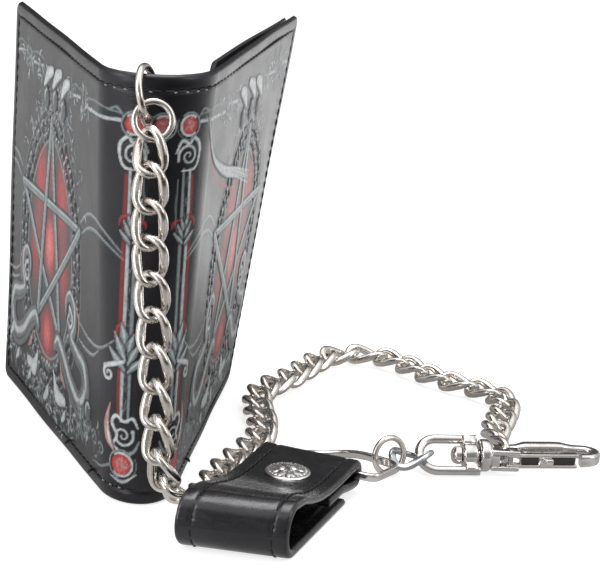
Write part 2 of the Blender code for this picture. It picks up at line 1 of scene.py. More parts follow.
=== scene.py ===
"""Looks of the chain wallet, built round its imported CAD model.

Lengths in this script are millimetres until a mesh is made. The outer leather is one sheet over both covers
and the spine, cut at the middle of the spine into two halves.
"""
import json
import math

import bpy
import numpy as np
from mathutils import Matrix, Vector


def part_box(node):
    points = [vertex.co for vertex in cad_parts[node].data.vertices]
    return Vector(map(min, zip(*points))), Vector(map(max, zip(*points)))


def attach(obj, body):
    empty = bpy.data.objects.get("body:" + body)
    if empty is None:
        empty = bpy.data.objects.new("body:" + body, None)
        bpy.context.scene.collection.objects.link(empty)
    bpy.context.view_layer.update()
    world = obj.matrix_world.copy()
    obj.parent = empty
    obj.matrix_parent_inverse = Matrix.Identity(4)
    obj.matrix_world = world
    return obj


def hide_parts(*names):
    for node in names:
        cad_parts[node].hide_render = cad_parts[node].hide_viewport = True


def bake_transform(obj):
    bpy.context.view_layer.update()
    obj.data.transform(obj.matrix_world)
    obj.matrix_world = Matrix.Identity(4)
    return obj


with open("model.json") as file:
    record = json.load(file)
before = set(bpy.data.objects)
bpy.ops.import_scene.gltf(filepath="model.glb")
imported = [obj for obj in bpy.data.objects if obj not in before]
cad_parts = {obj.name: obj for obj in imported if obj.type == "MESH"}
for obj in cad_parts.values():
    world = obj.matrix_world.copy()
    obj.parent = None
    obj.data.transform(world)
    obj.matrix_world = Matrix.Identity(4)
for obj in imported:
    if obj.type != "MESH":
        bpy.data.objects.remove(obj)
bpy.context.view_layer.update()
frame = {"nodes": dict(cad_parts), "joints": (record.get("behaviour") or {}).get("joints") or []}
JOINTS = {j["name"]: j for j in frame["joints"]}

MM = 0.001

# Wallet, as in the CAD
HEIGHT = 110.0
COVER_WIDTH = 90.0
COVER_THICK = 2.2
SPINE_HALF_LOW = 10.05
SPINE_HALF_HIGH = 14.7
SPINE_FRONT = -1.2
SPINE_DEPTH = 10.6
COVER_ANGLE = {"left": 10.6, "right": 20.4}
COVER_TWIST = {"left": -1.6, "right": 2.7}
CORNER = 3.0                    # radius of the covers' free corners
STITCH_IN = 3.8                 # the stitch line's distance from the edges
STITCH_PITCH = 3.1
STITCH_LONG = 2.3
THREAD = 0.27                   # thread radius
GRID = 0.32                     # spacing of the printed leather's points
COARSE = 12                     # the inner face has one point for each so many outer ones
RELIEF_DEPTH = 0.75             # height of a full unit of the print's relief
PRINT_MARGIN = 4.6              # the relief stays this far inside the edges
STITCH_SUNK = 0.18              # the stitch line's depth in the leather

# Chain, as in the CAD
LINK_COUNT = 39
LINK_PITCH = 8.84
LINK_WIRE = 1.05
LINK_PLAY = 0.5
LINK_BEND = 3.25
LINK_TWIST = 42.0
LINK_HALF = LINK_PITCH / 2 + LINK_WIRE + LINK_PLAY / 2
TIGHT_LINKS = (11, 12, 13, 16)  # at the corner to the floor, and by the D-ring: an even, thin wire
TIGHT_WIRE = 0.96
LINK_ENDS = 0.96                # wire thickness round a link's ends, against LINK_WIRE
LINK_BULGE = 0.23               # the wire is this much thicker again along a link's sides
FIRST_ROLL = 32.0               # degrees the first links are turned about their length
FIRST_ROLLED = 3
LAST_ROLL = -54.0               # and the last ones, into the hook's collar
LAST_ROLLED = 4
LOW_ROLL = 45.0                 # the hanging chain turns about its length again between these two links
LOW_START = 4
LOW_END = 13

# Belt loop, as in the CAD
STRAP_CORNER = (3.8, -29.8)
STRAP_TURN = 58.5
STRAP_WIDTH = 27.0
STRAP_THICK = 2.4
STRAP_SKEW = 6.0
STRAP_STITCH_IN = 3.9
ROLL_CENTRE = 7.2
ROLL_MID = 6.0
FOLD_AT = 57.3
FOLD_HEIGHT = 5.5
FOLD_MID = 2.5
INNER_END = 34.0
FLAP_END = 47.5
STUD_AT = 40.0
D_RING_DIP = 0.06
D_RING_SAG = 2.0                # the ring's far side lies this much lower still
CAP_SUNK = 0.75                 # the cap is pressed this far into the leather

# Hook, as in the CAD
HOOK_AT = (95.5, 20.8, 4.6)
HOOK_TURN = -2.0
BAR_SWELL = 0.42                # the hook's solid side is this much thicker along its middle
EYE_ROLL = 42.0

# Studio: brightness seen directly, and brightness mirrored by the pieces
FLOOR_SEEN = 0.72
FLOOR_FRONT = 0.05
FLOOR_NEAR = 0.55
FLOOR_BACK = 0.30
FLOOR_LEFT = 0.60
FLOOR_RIGHT = 1.5
SKY_FILL = 0.55
SKY_LOW = 0.09
SKY_NEAR = 0.16
SKY_SIDE = 0.62
SKY_TOP = 1.0

# Camera: its place in metres, its turns in radians, and its lens in millimetres
CAMERA_AT = (-0.0663, -0.4881, 0.2080)
CAMERA_YAW, CAMERA_PITCH, CAMERA_ROLL = 0.208, 0.293, 0.074
CAMERA_LENS = 126.27

# Print colours
BLACK = (0.0090, 0.0085, 0.0105)
TEAL = (0.27, 0.32, 0.325)
PALE = (0.62, 0.66, 0.66)
SLATE = (0.09, 0.10, 0.11)
RED = (0.46, 0.032, 0.036)
GLOW = (0.85, 0.24, 0.22)
ROSE = (0.55, 0.30, 0.29)
DEEP = (0.006, 0.006, 0.007)
SHEEN = (0.95, 0.94, 1.0, 1.0)   # tint of the leather's highlights


def unit(v):
    v = np.asarray(v, float)
    return v / np.linalg.norm(v)


def smooth(t):
    t = np.clip(t, 0.0, 1.0)
    return t * t * (3 - 2 * t)


def levels(low, high, count):
    return [low + (high - low) * i / count for i in range(count + 1)]


# Making objects -------------------------------------------------------------------------------------

def add_piece(name, points, faces, material, body=None, replaces=(), slot=None, crease=38):
    """A piece from points in millimetres; body is the CAD body it rides on."""
    mesh = bpy.data.meshes.new(name)
    mesh.from_pydata((np.asarray(points, float) * MM).tolist(), [], [tuple(f) for f in faces])
    mesh.validate()
    mesh.materials.append(material)
    mesh.shade_smooth()
    mesh.set_sharp_from_angle(angle=math.radians(crease))
    made = bpy.data.objects.new(name, mesh)
    bpy.context.collection.objects.link(made)
    if body:
        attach(made, body)
    if replaces:
        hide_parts(*replaces)
    return made


def join_shapes(shapes):
    """Several (points, faces) pairs as one."""
    points, faces = [], []
    for more_points, more_faces in shapes:
        base = len(points)
        points += [tuple(p) for p in more_points]
        faces += [tuple(base + i for i in f) for f in more_faces]
    return points, faces


def circle_section(radius, sides):
    turns = [2 * math.pi * (i + 0.5) / sides for i in range(sides)]
    return [(radius * math.cos(t), radius * math.sin(t)) for t in turns]


def rounded_section(wide, high, corner, steps=3):
    """A rounded rectangle, from its half-width, half-height and corner radius."""
    section = []
    for quarter, (sx, sy) in enumerate(((1, 1), (-1, 1), (-1, -1), (1, -1))):
        for i in range(steps + 1):
            t = math.pi / 2 * (quarter + i / steps)
            section.append((sx * (wide - corner) + corner * math.cos(t),
                            sy * (high - corner) + corner * math.sin(t)))
    return section


def sweep(path, ups, section, closed=False, scales=None):
    """A section swept along a path. ups holds a direction for the section's second axis at each point."""
    path = [np.asarray(p, float) for p in path]
    count, sides = len(path), len(section)
    points, faces = [], []
    for i, here in enumerate(path):
        before = path[i - 1] if closed or i else here
        after = path[(i + 1) % count] if closed or i < count - 1 else here
        along = unit(after - before)
        up = np.asarray(ups[i], float)
        up = unit(up - along * up.dot(along))
        side = np.cross(up, along)
        size = scales[i] if scales else 1.0
        points += [tuple(here + side * a * size + up * b * size) for a, b in section]
    for i in range(count if closed else count - 1):
        near, far = i * sides, ((i + 1) % count) * sides
        for k in range(sides):
            nxt = (k + 1) % sides
            faces.append((near + k, near + nxt, far + nxt, far + k))
    if not closed:
        faces.append(tuple(reversed(range(sides))))
        faces.append(tuple(range((count - 1) * sides, count * sides)))
    return points, faces


def revolve(profile, centre, axis, sides, ripple=None):
    """A turned solid from (distance along the axis, radius); ripple adds height at a radius and turn."""
    along = unit(axis)
    helper = (0, 0, 1) if abs(along[2]) < 0.9 else (1, 0, 0)
    side = unit(np.cross(along, helper))
    up = np.cross(along, side)
    centre = np.asarray(centre, float)
    points, faces, rings = [], [], []
    for d, r in profile:
        if r <= 1e-6:
            rings.append([len(points)] * sides)
            points.append(tuple(centre + along * d))
            continue
        rings.append(list(range(len(points), len(points) + sides)))
        for k in range(sides):
            turn = 2 * math.pi * k / sides
            lift = ripple(r, turn) if ripple else 0.0
            offset = side * math.cos(turn) * r + up * math.sin(turn) * r
            points.append(tuple(centre + along * (d + lift) + offset))
    for near, far in zip(rings, rings[1:]):
        for k in range(sides):
            nxt = (k + 1) % sides
            loop = [near[k], near[nxt], far[nxt], far[k]]
            face = [v for i, v in enumerate(loop) if v != loop[i - 1]]
            if len(face) > 2:
                faces.append(tuple(face))
    return points, faces


def turned_ring(profile, centre, axis, sides):
    """A turned solid with a hole; profile is a closed outline of (distance along the axis, radius)."""
    return revolve(profile + profile[:1], centre, axis, sides)


def smooth_curve(controls, steps):
    """Points along a Catmull-Rom curve through the controls."""
    controls = [np.asarray(c, float) for c in controls]
    padded = [2 * controls[0] - controls[1]] + controls + [2 * controls[-1] - controls[-2]]
    curve = []
    for a, b, c, d in zip(padded, padded[1:], padded[2:], padded[3:]):
        for i in range(steps):
            t = i / steps
            curve.append(0.5 * (2 * b + (c - a) * t + (2 * a - 5 * b + 4 * c - d) * t * t
                                + (3 * b - a - 3 * c + d) * t ** 3))
    curve.append(controls[-1])
    return curve


# Materials ------------------------------------------------------------------------------------------

class Nodes:
    """Short calls for the nodes of one tree."""

    def __init__(self, tree):
        self.tree = tree

    def node(self, kind, **settings):
        made = self.tree.nodes.new(kind)
        for key, value in settings.items():
            setattr(made, key, value)
        return made

    def link(self, source, target):
        self.tree.links.new(source, target)

    def join(self, kind, *sources):
        """A node that takes its inputs in order."""
        made = self.node(kind)
        for source, slot in zip(sources, made.inputs):
            self.link(source, slot)
        return made.outputs[0]

    def ramp(self, source, low, high, start, end):
        made = self.node("ShaderNodeMapRange", interpolation_type="SMOOTHSTEP")
        for key, value in zip(("From Min", "From Max", "To Min", "To Max"), (low, high, start, end)):
            made.inputs[key].default_value = value
        self.link(source, made.inputs["Value"])
        return made.outputs["Result"]

    def maths(self, operation, a, b):
        made = self.node("ShaderNodeMath", operation=operation)
        for slot, value in zip(made.inputs, (a, b)):
            if isinstance(value, (int, float)):
                slot.default_value = value
            else:
                self.link(value, slot)
        return made.outputs["Value"]


class Shader(Nodes):
    """One material's nodes, ending in its Principled BSDF."""

    def __init__(self, name):
        self.material = bpy.data.materials.new(name)
        self.material.use_nodes = True
        super().__init__(self.material.node_tree)
        self.out = self.tree.nodes["Principled BSDF"]
        self.coords = self.node("ShaderNodeTexCoord").outputs["Object"]

    def set(self, **values):
        for key, value in values.items():
            self.out.inputs[key.replace("_", " ")].default_value = value

    def noise(self, scale, detail=4.0, stretch=(1, 1, 1), roughness=0.5):
        mapping = self.node("ShaderNodeMapping")
        mapping.inputs["Scale"].default_value = stretch
        self.link(self.coords, mapping.inputs["Vector"])
        made = self.node("ShaderNodeTexNoise")
        made.inputs["Scale"].default_value = scale
        made.inputs["Detail"].default_value = detail
        made.inputs["Roughness"].default_value = roughness
        self.link(mapping.outputs["Vector"], made.inputs["Vector"])
        return made.outputs["Fac"]

    def cells(self, scale, feature="DISTANCE_TO_EDGE"):
        made = self.node("ShaderNodeTexVoronoi", feature=feature)
        made.inputs["Scale"].default_value = scale
        self.link(self.coords, made.inputs["Vector"])
        return made.outputs["Distance"]

    def mix(self, factor, a, b):
        made = self.node("ShaderNodeMix", data_type="RGBA")
        for slot, value in ((made.inputs[0], factor), (made.inputs[6], a), (made.inputs[7], b)):
            if isinstance(value, (int, float)):
                slot.default_value = value
            elif isinstance(value, tuple):
                slot.default_value = (*value, 1.0)
            else:
                self.link(value, slot)
        return made.outputs[2]

    def bump(self, height, strength, distance, before=None):
        made = self.node("ShaderNodeBump")
        made.inputs["Strength"].default_value = strength
        made.inputs["Distance"].default_value = distance
        self.link(height, made.inputs["Height"])
        if before:
            self.link(before, made.inputs["Normal"])
        return made.outputs["Normal"]

    def attribute(self, name, output="Color"):
        made = self.node("ShaderNodeAttribute", attribute_name=name)
        return made.outputs[output]

    def into(self, name, source):
        self.link(source, self.out.inputs[name])


def grain_normal(shader, cell_scale, strength):
    """Leather's pebbled grain with finer creases over it."""
    cells = shader.ramp(shader.cells(cell_scale), 0.0, 0.25, 0.0, 1.0)
    fine = shader.noise(cell_scale * 2.5, 3.0)
    height = shader.maths("ADD", cells, shader.maths("MULTIPLY", fine, 0.8))
    coarse = shader.bump(shader.noise(160.0, 3.0), 0.12, 0.001)
    return shader.bump(height, strength, 0.0001, coarse)


def printed_leather():
    shader = Shader("printed_leather")
    ink = shader.attribute("ink")
    inked = shader.attribute("inked", "Fac")
    wear = shader.ramp(shader.noise(900.0, 4.0), 0.35, 0.62, 0.72, 1.0)
    worn = shader.mix(wear, BLACK, ink)
    cloudy = shader.ramp(shader.noise(60.0, 3.0), 0.3, 0.7, 0.7, 1.35)
    plain = shader.node("ShaderNodeVectorMath", operation="SCALE")
    shader.link(ink, plain.inputs[0])
    shader.link(cloudy, plain.inputs["Scale"])
    shader.into("Base Color", shader.mix(inked, plain.outputs[0], worn))
    rough = shader.ramp(shader.noise(120.0, 4.0), 0.3, 0.7, 0.33, 0.38)
    shader.into("Roughness", shader.maths("ADD", rough, shader.maths("MULTIPLY", inked, 0.08)))
    shader.into("Normal", grain_normal(shader, 1500.0, 0.16))
    shader.set(Coat_Weight=0.08, Coat_Roughness=0.25, Specular_IOR_Level=0.42, Specular_Tint=SHEEN)
    return shader.material


def plain_leather(name, colour, roughness, cell_scale, strength, coat=0.2):
    shader = Shader(name)
    cloudy = shader.ramp(shader.noise(90.0, 4.0), 0.3, 0.7, 0.0, 1.0)
    shader.into("Base Color", shader.mix(cloudy, colour, tuple(1.7 * c for c in colour)))
    scuffs = shader.noise(350.0, 5.0, (1.0, 1.0, 3.0))
    shader.into("Roughness", shader.ramp(scuffs, 0.3, 0.7, roughness - 0.06, roughness + 0.08))
    shader.into("Normal", grain_normal(shader, cell_scale, strength))
    shader.set(Coat_Weight=coat, Coat_Roughness=0.25, Specular_Tint=SHEEN)
    return shader.material


def polished_metal(name, colour, roughness, scratch=0.05):
    """Plated metal: soft clouding in its colour and roughness, and fine scratches."""
    shader = Shader(name)
    cloudy = shader.ramp(shader.noise(220.0, 4.0), 0.3, 0.7, 0.0, 1.0)
    shader.into("Base Color", shader.mix(cloudy, tuple(0.86 * c for c in colour), colour))
    scratches = shader.noise(1600.0, 3.0, (1.0, 0.12, 1.0))
    shader.into("Roughness", shader.ramp(scratches, 0.35, 0.7, roughness, roughness + 0.12))
    shader.into("Normal", shader.bump(scratches, scratch, 0.00005))
    shader.set(Metallic=1.0)
    return shader.material


def thread_material(name, colour):
    shader = Shader(name)
    twist = shader.noise(2600.0, 2.0, (1.0, 1.0, 0.3))
    shader.into("Base Color", shader.mix(twist, colour, tuple(2.2 * c for c in colour)))
    shader.into("Normal", shader.bump(twist, 0.4, 0.0001))
    shader.set(Roughness=0.5)
    return shader.material


LEATHER = printed_leather()
STRAP_LEATHER = plain_leather("belt_loop_leather", (0.0070, 0.0068, 0.0078), 0.25, 1300.0, 0.12, 0.35)
LINING = plain_leather("lining_leather", (0.016, 0.0155, 0.0165), 0.50, 1800.0, 0.2, 0.05)
NICKEL = polished_metal("nickel", (0.80, 0.75, 0.70), 0.17)
BRIGHT = polished_metal("bright_nickel", (0.78, 0.75, 0.73), 0.12)
STEEL = polished_metal("steel", (0.50, 0.51, 0.53), 0.26)
# near-black steel: painted shade for the recess in the gate's channel
CHANNEL_SHADE_STEEL = polished_metal("dark_steel", (0.10, 0.09, 0.088), 0.30)
SILVER = polished_metal("textured_silver", (0.88, 0.87, 0.85), 0.24)
THREAD_BLACK = thread_material("black_thread", (0.006, 0.006, 0.007))
# pale grey thread: painted highlights that stand for the black thread's glints
THREAD_GLINT = thread_material("pale_thread", (0.20, 0.19, 0.19))


# The outer leather's shape --------------------------------------------------------------------------

def side_sign(side):
    return -1.0 if side == "left" else 1.0


def spine_half(z):
    return SPINE_HALF_LOW + (SPINE_HALF_HIGH - SPINE_HALF_LOW) * z / HEIGHT


def cover_angle(side, z):
    return np.radians(COVER_ANGLE[side] + COVER_TWIST[side] * (2 * z / HEIGHT - 1))


class Row:
    """The outer face in plan at one height: half an oval for the spine, then the straight cover."""

    def __init__(self, side, z):
        self.sign, self.z = side_sign(side), z
        self.angle = float(cover_angle(side, z))
        self.half = spine_half(z)
        self.last = math.atan2(self.half, SPINE_DEPTH * math.tan(self.angle))
        self.reach = self.half / math.sin(self.last)
        self.depth = SPINE_DEPTH / (1 - math.cos(self.last))
        turns = np.linspace(0.0, self.last, 80)
        x, y = self.reach * np.sin(turns), self.depth * (1 - np.cos(turns))
        self.arc = np.concatenate([[0.0], np.cumsum(np.hypot(np.diff(x), np.diff(y)))])
        self.turns = turns
        self.spine = self.arc[-1]
        self.end = self.spine + COVER_WIDTH

    def place(self, across):
        """Points and inward normals at distances across the leather from the spine's middle."""
        across = np.asarray(across, float)
        now = np.interp(across, self.arc, self.turns)
        on_cover = np.maximum(across - self.spine, 0.0)
        x = self.reach * np.sin(now) + on_cover * math.sin(self.angle)
        y = SPINE_FRONT + self.depth * (1 - np.cos(now)) + on_cover * math.cos(self.angle)
        nx, ny = -self.depth * np.sin(now), self.reach * np.cos(now)
        long = np.hypot(nx, ny)
        nx, ny = nx / long, ny / long
        flat = across > self.spine
        nx = np.where(flat, -math.cos(self.angle), nx)
        ny = np.where(flat, math.sin(self.angle), ny)
        zeros = np.zeros_like(x)
        return (np.stack([self.sign * x, y, zeros + self.z], axis=-1),
                np.stack([self.sign * nx, ny, zeros], axis=-1))


def leather_points(side, across, heights, depths):
    """Points of the outer leather, from arrays of one shape; depths are inward from its outer face."""
    across, heights, depths = (np.asarray(v, float) for v in (across, heights, depths))
    shape = across.shape
    points = np.zeros(shape + (3,))
    grid = np.linspace(-1.0, HEIGHT + 1.0, 225)
    rows = [Row(side, z) for z in grid]
    step = grid[1] - grid[0]
    cell = np.clip(((heights - grid[0]) / step).astype(int), 0, len(grid) - 2)
    share = (heights - grid[0]) / step - cell
    for k in np.unique(cell):
        here = cell == k
        low, low_in = rows[k].place(across[here])
        high, high_in = rows[k + 1].place(across[here])
        t = share[here][:, None]
        points[here] = low * (1 - t) + high * t + (low_in * (1 - t) + high_in * t) * depths[here][:, None]
    return points


def sheet_end(side, z):
    """Distance across the leather from the spine's middle to the cover's free edge."""
    return Row(side, z).end


def spine_arc(side, z):
    """The same to the cover's fold, for an array of heights."""
    heights = np.linspace(0.0, HEIGHT, 60)
    return np.interp(z, heights, [Row(side, height).spine for height in heights])


# Print and relief -----------------------------------------------------------------------------------

class Print:
    """Ink and relief over a sheet of leather, drawn on arrays of its points' places across and up."""

    def __init__(self, across, up):
        self.u, self.v = across.ravel(), up.ravel()
        self.ink = np.tile(np.array(BLACK), (self.u.size, 1))
        self.inked = np.zeros(self.u.size)
        self.relief = np.zeros(self.u.size)

    def near(self, low_u, high_u, low_v, high_v):
        return np.nonzero((self.u > low_u) & (self.u < high_u) & (self.v > low_v) & (self.v < high_v))[0]

    def lay(self, where, share, colour, lift=0.0):
        share = np.clip(share, 0.0, 1.0)
        tint = np.asarray(colour, float)
        tint = tint if tint.ndim == 2 else tint[None, :]
        self.ink[where] = self.ink[where] * (1 - share[:, None]) + tint * share[:, None]
        self.inked[where] = np.maximum(self.inked[where], share)
        self.relief[where] = self.relief[where] + (lift - self.relief[where]) * share * (lift != 0.0)

    def stroke(self, controls, widths, colour, lift=0.0, strength=1.0, steps=6, edge=0.16, dark_edge=False):
        """A brushed line through controls, widening and narrowing along its length, lit along its middle."""
        line = np.array(smooth_curve(controls, steps) if len(controls) > 2 else controls, float)
        size = np.interp(np.linspace(0, 1, len(line)), np.linspace(0, 1, len(widths)), widths) / 2
        reach = size.max() + 0.8
        where = self.near(line[:, 0].min() - reach, line[:, 0].max() + reach,
                          line[:, 1].min() - reach, line[:, 1].max() + reach)
        if not len(where):
            return
        u, v = self.u[where], self.v[where]
        best, ratio = np.full(u.size, 1e9), np.full(u.size, 9.0)
        for (u0, v0), (u1, v1), s0, s1 in zip(line, line[1:], size, size[1:]):
            du, dv = u1 - u0, v1 - v0
            t = np.clip(((u - u0) * du + (v - v0) * dv) / max(du * du + dv * dv, 1e-9), 0, 1)
            away = np.hypot(u - u0 - t * du, v - v0 - t * dv)
            half = s0 + (s1 - s0) * t
            over = away - half
            closer = over < best
            best = np.where(closer, over, best)
            ratio = np.where(closer, away / np.maximum(half, 0.05), ratio)
        if dark_edge:
            self.lay(where, smooth((0.75 - best) / 0.7) * strength * 0.9, (0.004, 0.004, 0.005))
        round_ = np.sqrt(np.clip(1 - ratio ** 2, 0, 1))
        shade = (0.35 + 0.65 * round_)[:, None] * np.asarray(colour)[None, :]
        self.lay(where, smooth(0.5 - best / edge) * strength, shade, lift * (0.4 + 0.6 * round_).mean())

    def disc(self, centre, radii, colour, lift=0.0, strength=1.0, edge=0.2, fade=0.0):
        """A filled oval; fade makes its colour die away towards its edge."""
        reach = max(radii) + 1.0
        where = self.near(centre[0] - reach, centre[0] + reach, centre[1] - reach, centre[1] + reach)
        if not len(where):
            return
        q = np.hypot((self.u[where] - centre[0]) / radii[0], (self.v[where] - centre[1]) / radii[1])
        share = smooth(0.5 + (1 - q) * min(radii) / edge)
        if fade:
            share = share * np.clip(1 - q, 0, 1) ** fade
        self.lay(where, share * strength, colour, lift)

    def ring(self, centre, radii, width, colour, lift=0.0, start=0, end=360, strength=1.0):
        turns = [math.radians(a) for a in levels(start, end, max(8, int(abs(end - start) / 12)))]
        line = [(centre[0] + radii[0] * math.cos(a), centre[1] + radii[1] * math.sin(a)) for a in turns]
        self.stroke(line, [width], colour, lift, strength, steps=2)


def placed(centre, places, side=1):
    """Places given from a centre, mirrored for side -1."""
    return [(centre[0] + side * u, centre[1] + v) for u, v in places]


def spiral(centre, radius, start, turns, steps=14, inner=0.12):
    """A scroll that winds inward from its radius; start is in degrees and turns may be negative."""
    line = []
    for i in range(steps + 1):
        t = i / steps
        angle = math.radians(start) + 2 * math.pi * turns * t
        size = radius * (1 - t) + radius * inner * t
        line.append((centre[0] + size * math.cos(angle), centre[1] + size * math.sin(angle)))
    return line


def pointed_oval(centre, half_wide, angle):
    """A point on the medallion's oval frame, which comes to a soft point at its top."""
    c, s = math.cos(angle), math.sin(angle)
    tall = (35.5 if s > 0 else 36.0) - 27.6 + half_wide
    narrow = 1.0 - 0.22 * max(0.0, s) ** 3
    return (centre[0] + half_wide * c * narrow, centre[1] + tall * s)


def draw_roundel(art, centre, radius, rng):
    art.disc(centre, (radius + 1.0, radius + 1.0), DEEP, 0.1)
    art.disc(centre, (radius, radius), RED, 0.2)
    art.disc(centre, (radius * 0.9, radius * 0.9), GLOW, 0.2, 0.5, fade=0.8)
    for _ in range(12):
        a, b = rng.uniform(0, 2 * math.pi, 2)
        r1, r2 = rng.uniform(0.3, 0.95, 2) * radius
        art.stroke([(centre[0] + r1 * math.cos(a), centre[1] + r1 * math.sin(a)),
                    (centre[0] + r2 * math.cos(b), centre[1] + r2 * math.sin(b))], [0.28], ROSE, 0.24, 0.75)
    art.ring(centre, (radius + 0.2, radius + 0.2), 0.6, PALE, 0.3, 50, 310)
    art.ring(centre, (radius + 0.85, radius + 0.85), 0.45, TEAL, 0.25, -80, 130)
    art.ring(centre, (radius + 1.2, radius + 1.2), 0.3, TEAL, 0.2, 150, 290, 0.6)


def draw_column(art, low_at, high_at, rng):
    """An upright scrolled column beside the spine's middle."""
    def at(z):
        return low_at + (high_at - low_at) * z / HEIGHT

    def path(shift, places):
        return [(at(z) + w + shift, z) for w, z in places]

    art.stroke(path(0.0, ((0.0, 87.0), (0.0, 55.0), (0.0, 22.0))), [3.0], DEEP, 0.2, 0.9)
    art.stroke(path(2.0, ((0.0, 85.0), (0.2, 55.0), (0.0, 24.0))), [0.9, 1.3, 0.8], RED, 0.1, 0.5)
    art.stroke(path(-0.9, ((0.0, 87.0), (0.0, 55.0), (0.0, 22.0))), [0.8, 0.95, 0.8], TEAL, 0.3, 0.9)
    art.stroke(path(1.0, ((0.0, 87.0), (0.0, 55.0), (0.0, 22.0))), [0.9, 1.05, 0.9], PALE, 0.32, 0.8)
    art.stroke(path(-2.4, ((0.0, 84.5), (-0.2, 76.0), (0.6, 69.5), (2.0, 68.4))), [0.4], TEAL, 0.1, 0.6)
    for _ in range(46):
        z = rng.uniform(24, 85)
        w = at(z) + rng.uniform(-0.9, 1.0)
        art.stroke([(w, z), (w + rng.uniform(-0.5, 0.5), z + rng.uniform(0.6, 2.4))], [0.3], TEAL, 0.0,
                   rng.uniform(0.2, 0.6))
    for z, start, turns in ((90.2, 200, -1.6), (18.2, 150, 1.6)):
        centre = (at(z) + 0.3, z)
        art.disc(centre, (3.3, 3.2), DEEP, 0.12)
        art.stroke(spiral(centre, 3.0, start, turns), [0.8, 0.55, 0.35], PALE, 0.3, 0.9)
    capital = ((-3.2, 91.0), (-1.6, 94.0), (0.6, 93.2), (1.8, 94.6), (3.9, 92.6), (3.7, 89.0), (2.2, 86.8),
               (-1.5, 86.6))
    base = ((-3.6, 20.6), (-2.2, 23.0), (0.2, 22.0), (2.4, 23.2), (3.8, 21.0), (2.0, 18.0), (3.2, 15.2),
            (0.6, 13.8))
    art.stroke(path(0.0, capital), [0.4, 0.9, 0.7, 0.9, 1.0, 0.8, 0.7, 0.4], PALE, 0.3)
    art.stroke(path(0.0, base), [0.4, 0.9, 0.8, 1.0, 1.1, 0.9, 0.8, 0.4], PALE, 0.3)
    under = ((-4.0, 17.0), (-2.6, 14.2), (0.4, 13.2), (3.4, 14.4))
    art.stroke(path(0.0, under), [0.4, 0.9, 0.8, 0.4], TEAL, 0.3)
    # leaves part way down, and a flame-shaped leaf at the foot
    for side, low, size in ((1, 70.0, 0.7), (-1, 70.0, 0.6), (1, 39.0, 1.2), (-1, 38.0, 1.0)):
        leaves = (((0.3, 1.5), (0.8, 4.5), (1.6, 7.2)), ((0.3, -1.0), (1.6, 1.8), (3.2, 5.0)),
                  ((0.4, -3.0), (2.2, -1.0), (4.6, 1.4)))
        for leaf in leaves:
            line = [(at(low) + side * w * size, low + z * size) for w, z in leaf]
            art.stroke(line, [0.6 * size, 2.0 * size, 0.4], TEAL, 0.34, 0.95, dark_edge=True)
            art.stroke([(w, z + 0.25) for w, z in line], [0.2, 0.6 * size, 0.2], PALE, 0.0, 0.7)
        art.stroke([(at(low) + side * 1.0, low + 7.5 * size), (at(low) + side * 3.0, low + 6.0 * size),
                    (at(low) + side * 3.4, low + 3.4 * size)], [0.3, 1.0, 0.3], RED, 0.2, 0.7)
    curl = (at(34.5) + 5.6, 33.6)
    art.stroke([(at(37.0) + 1.0, 37.6), (at(36.0) + 3.6, 36.6), (curl[0] + 1.6, curl[1] + 1.6)],
               [1.0, 1.4, 1.2], PALE, 0.3)
    art.stroke(spiral(curl, 2.0, 60, -1.3), [1.2, 0.8, 0.4], PALE, 0.3, 0.9)
    foot = (at(18.0), 0.0)
    flame = placed(foot, ((3.0, 13.8), (5.0, 16.5), (5.9, 20.5), (4.6, 26.0)))
    art.stroke(flame, [0.6, 2.6, 2.0, 0.3], ROSE, 0.34, dark_edge=True)
    art.stroke(placed(foot, ((3.6, 14.6), (4.9, 17.2), (5.4, 20.5))), [0.3, 1.3, 0.5], PALE, 0.34)


STAR = ((65.0, 86.2), (51.5, 29.0), (92.5, 62.5), (34.4, 63.7), (73.0, 30.0))


def draw_medallion(art, centre, rng):
    """A pointed-oval frame of linked beads, with a star of bars over a red glow."""
    art.disc(centre, (31.5, 37.5), DEEP, 0.0, 0.9)
    art.disc(centre, (21.8, 33.0), (0.045, 0.042, 0.043), 0.0)
    glows = (((0.0, 1.5), (8.5, 13.0), 1.3), ((-11.0, 16.5), (8.0, 16.0), 1.1),
             ((11.0, 16.5), (8.0, 16.0), 1.1), ((-14.0, -3.0), (7.0, 14.0), 0.8),
             ((14.0, -3.0), (7.0, 14.0), 0.8), ((0.0, -24.0), (9.0, 10.5), 1.2),
             ((0.5, 23.0), (5.0, 11.0), 0.8))
    for spot, radii, strength in glows:
        art.disc((centre[0] + spot[0], centre[1] + spot[1]), radii, RED, 0.0, 1.3 * strength, fade=1.3)
    art.disc((centre[0], centre[1] + 1.0), (4.6, 8.0), GLOW, 0.0, 1.0, fade=1.0)
    art.disc((centre[0], centre[1] - 24.0), (4.0, 5.0), GLOW, 0.0, 0.6, fade=1.0)
    for _ in range(130):
        angle, reach = rng.uniform(0, 2 * math.pi), math.sqrt(rng.uniform(0.02, 0.95))
        u, v = centre[0] + 20.0 * reach * math.cos(angle), centre[1] + 30.0 * reach * math.sin(angle)
        tint = DEEP if rng.random() < 0.55 else ROSE
        art.stroke([(u, v), (u + rng.uniform(-1.5, 1.5), v + rng.uniform(1.0, 4.0))], [0.3, 1.2, 0.3], tint,
                   0.0, rng.uniform(0.15, 0.4), edge=0.5)
    draw_frame(art, centre, rng)
    for start, end in zip(STAR, STAR[1:] + STAR[:1]):
        art.stroke([start, end], [2.5, 3.3, 3.3, 2.5], (0.20, 0.25, 0.25), 0.5, 1.0, edge=0.2, dark_edge=True)
        across = unit((end[1] - start[1], start[0] - end[0])) * 0.65
        across = across if across[1] > 0 else -across
        glints = ((across, [0.5, 1.2, 0.5], 0.8), (-across * 1.2, [0.2, 0.5, 0.2], 0.4))
        for shift, widths, strength in glints:
            art.stroke([tuple(np.array(p) + shift) for p in (start, end)], widths, PALE, 0.0, strength)


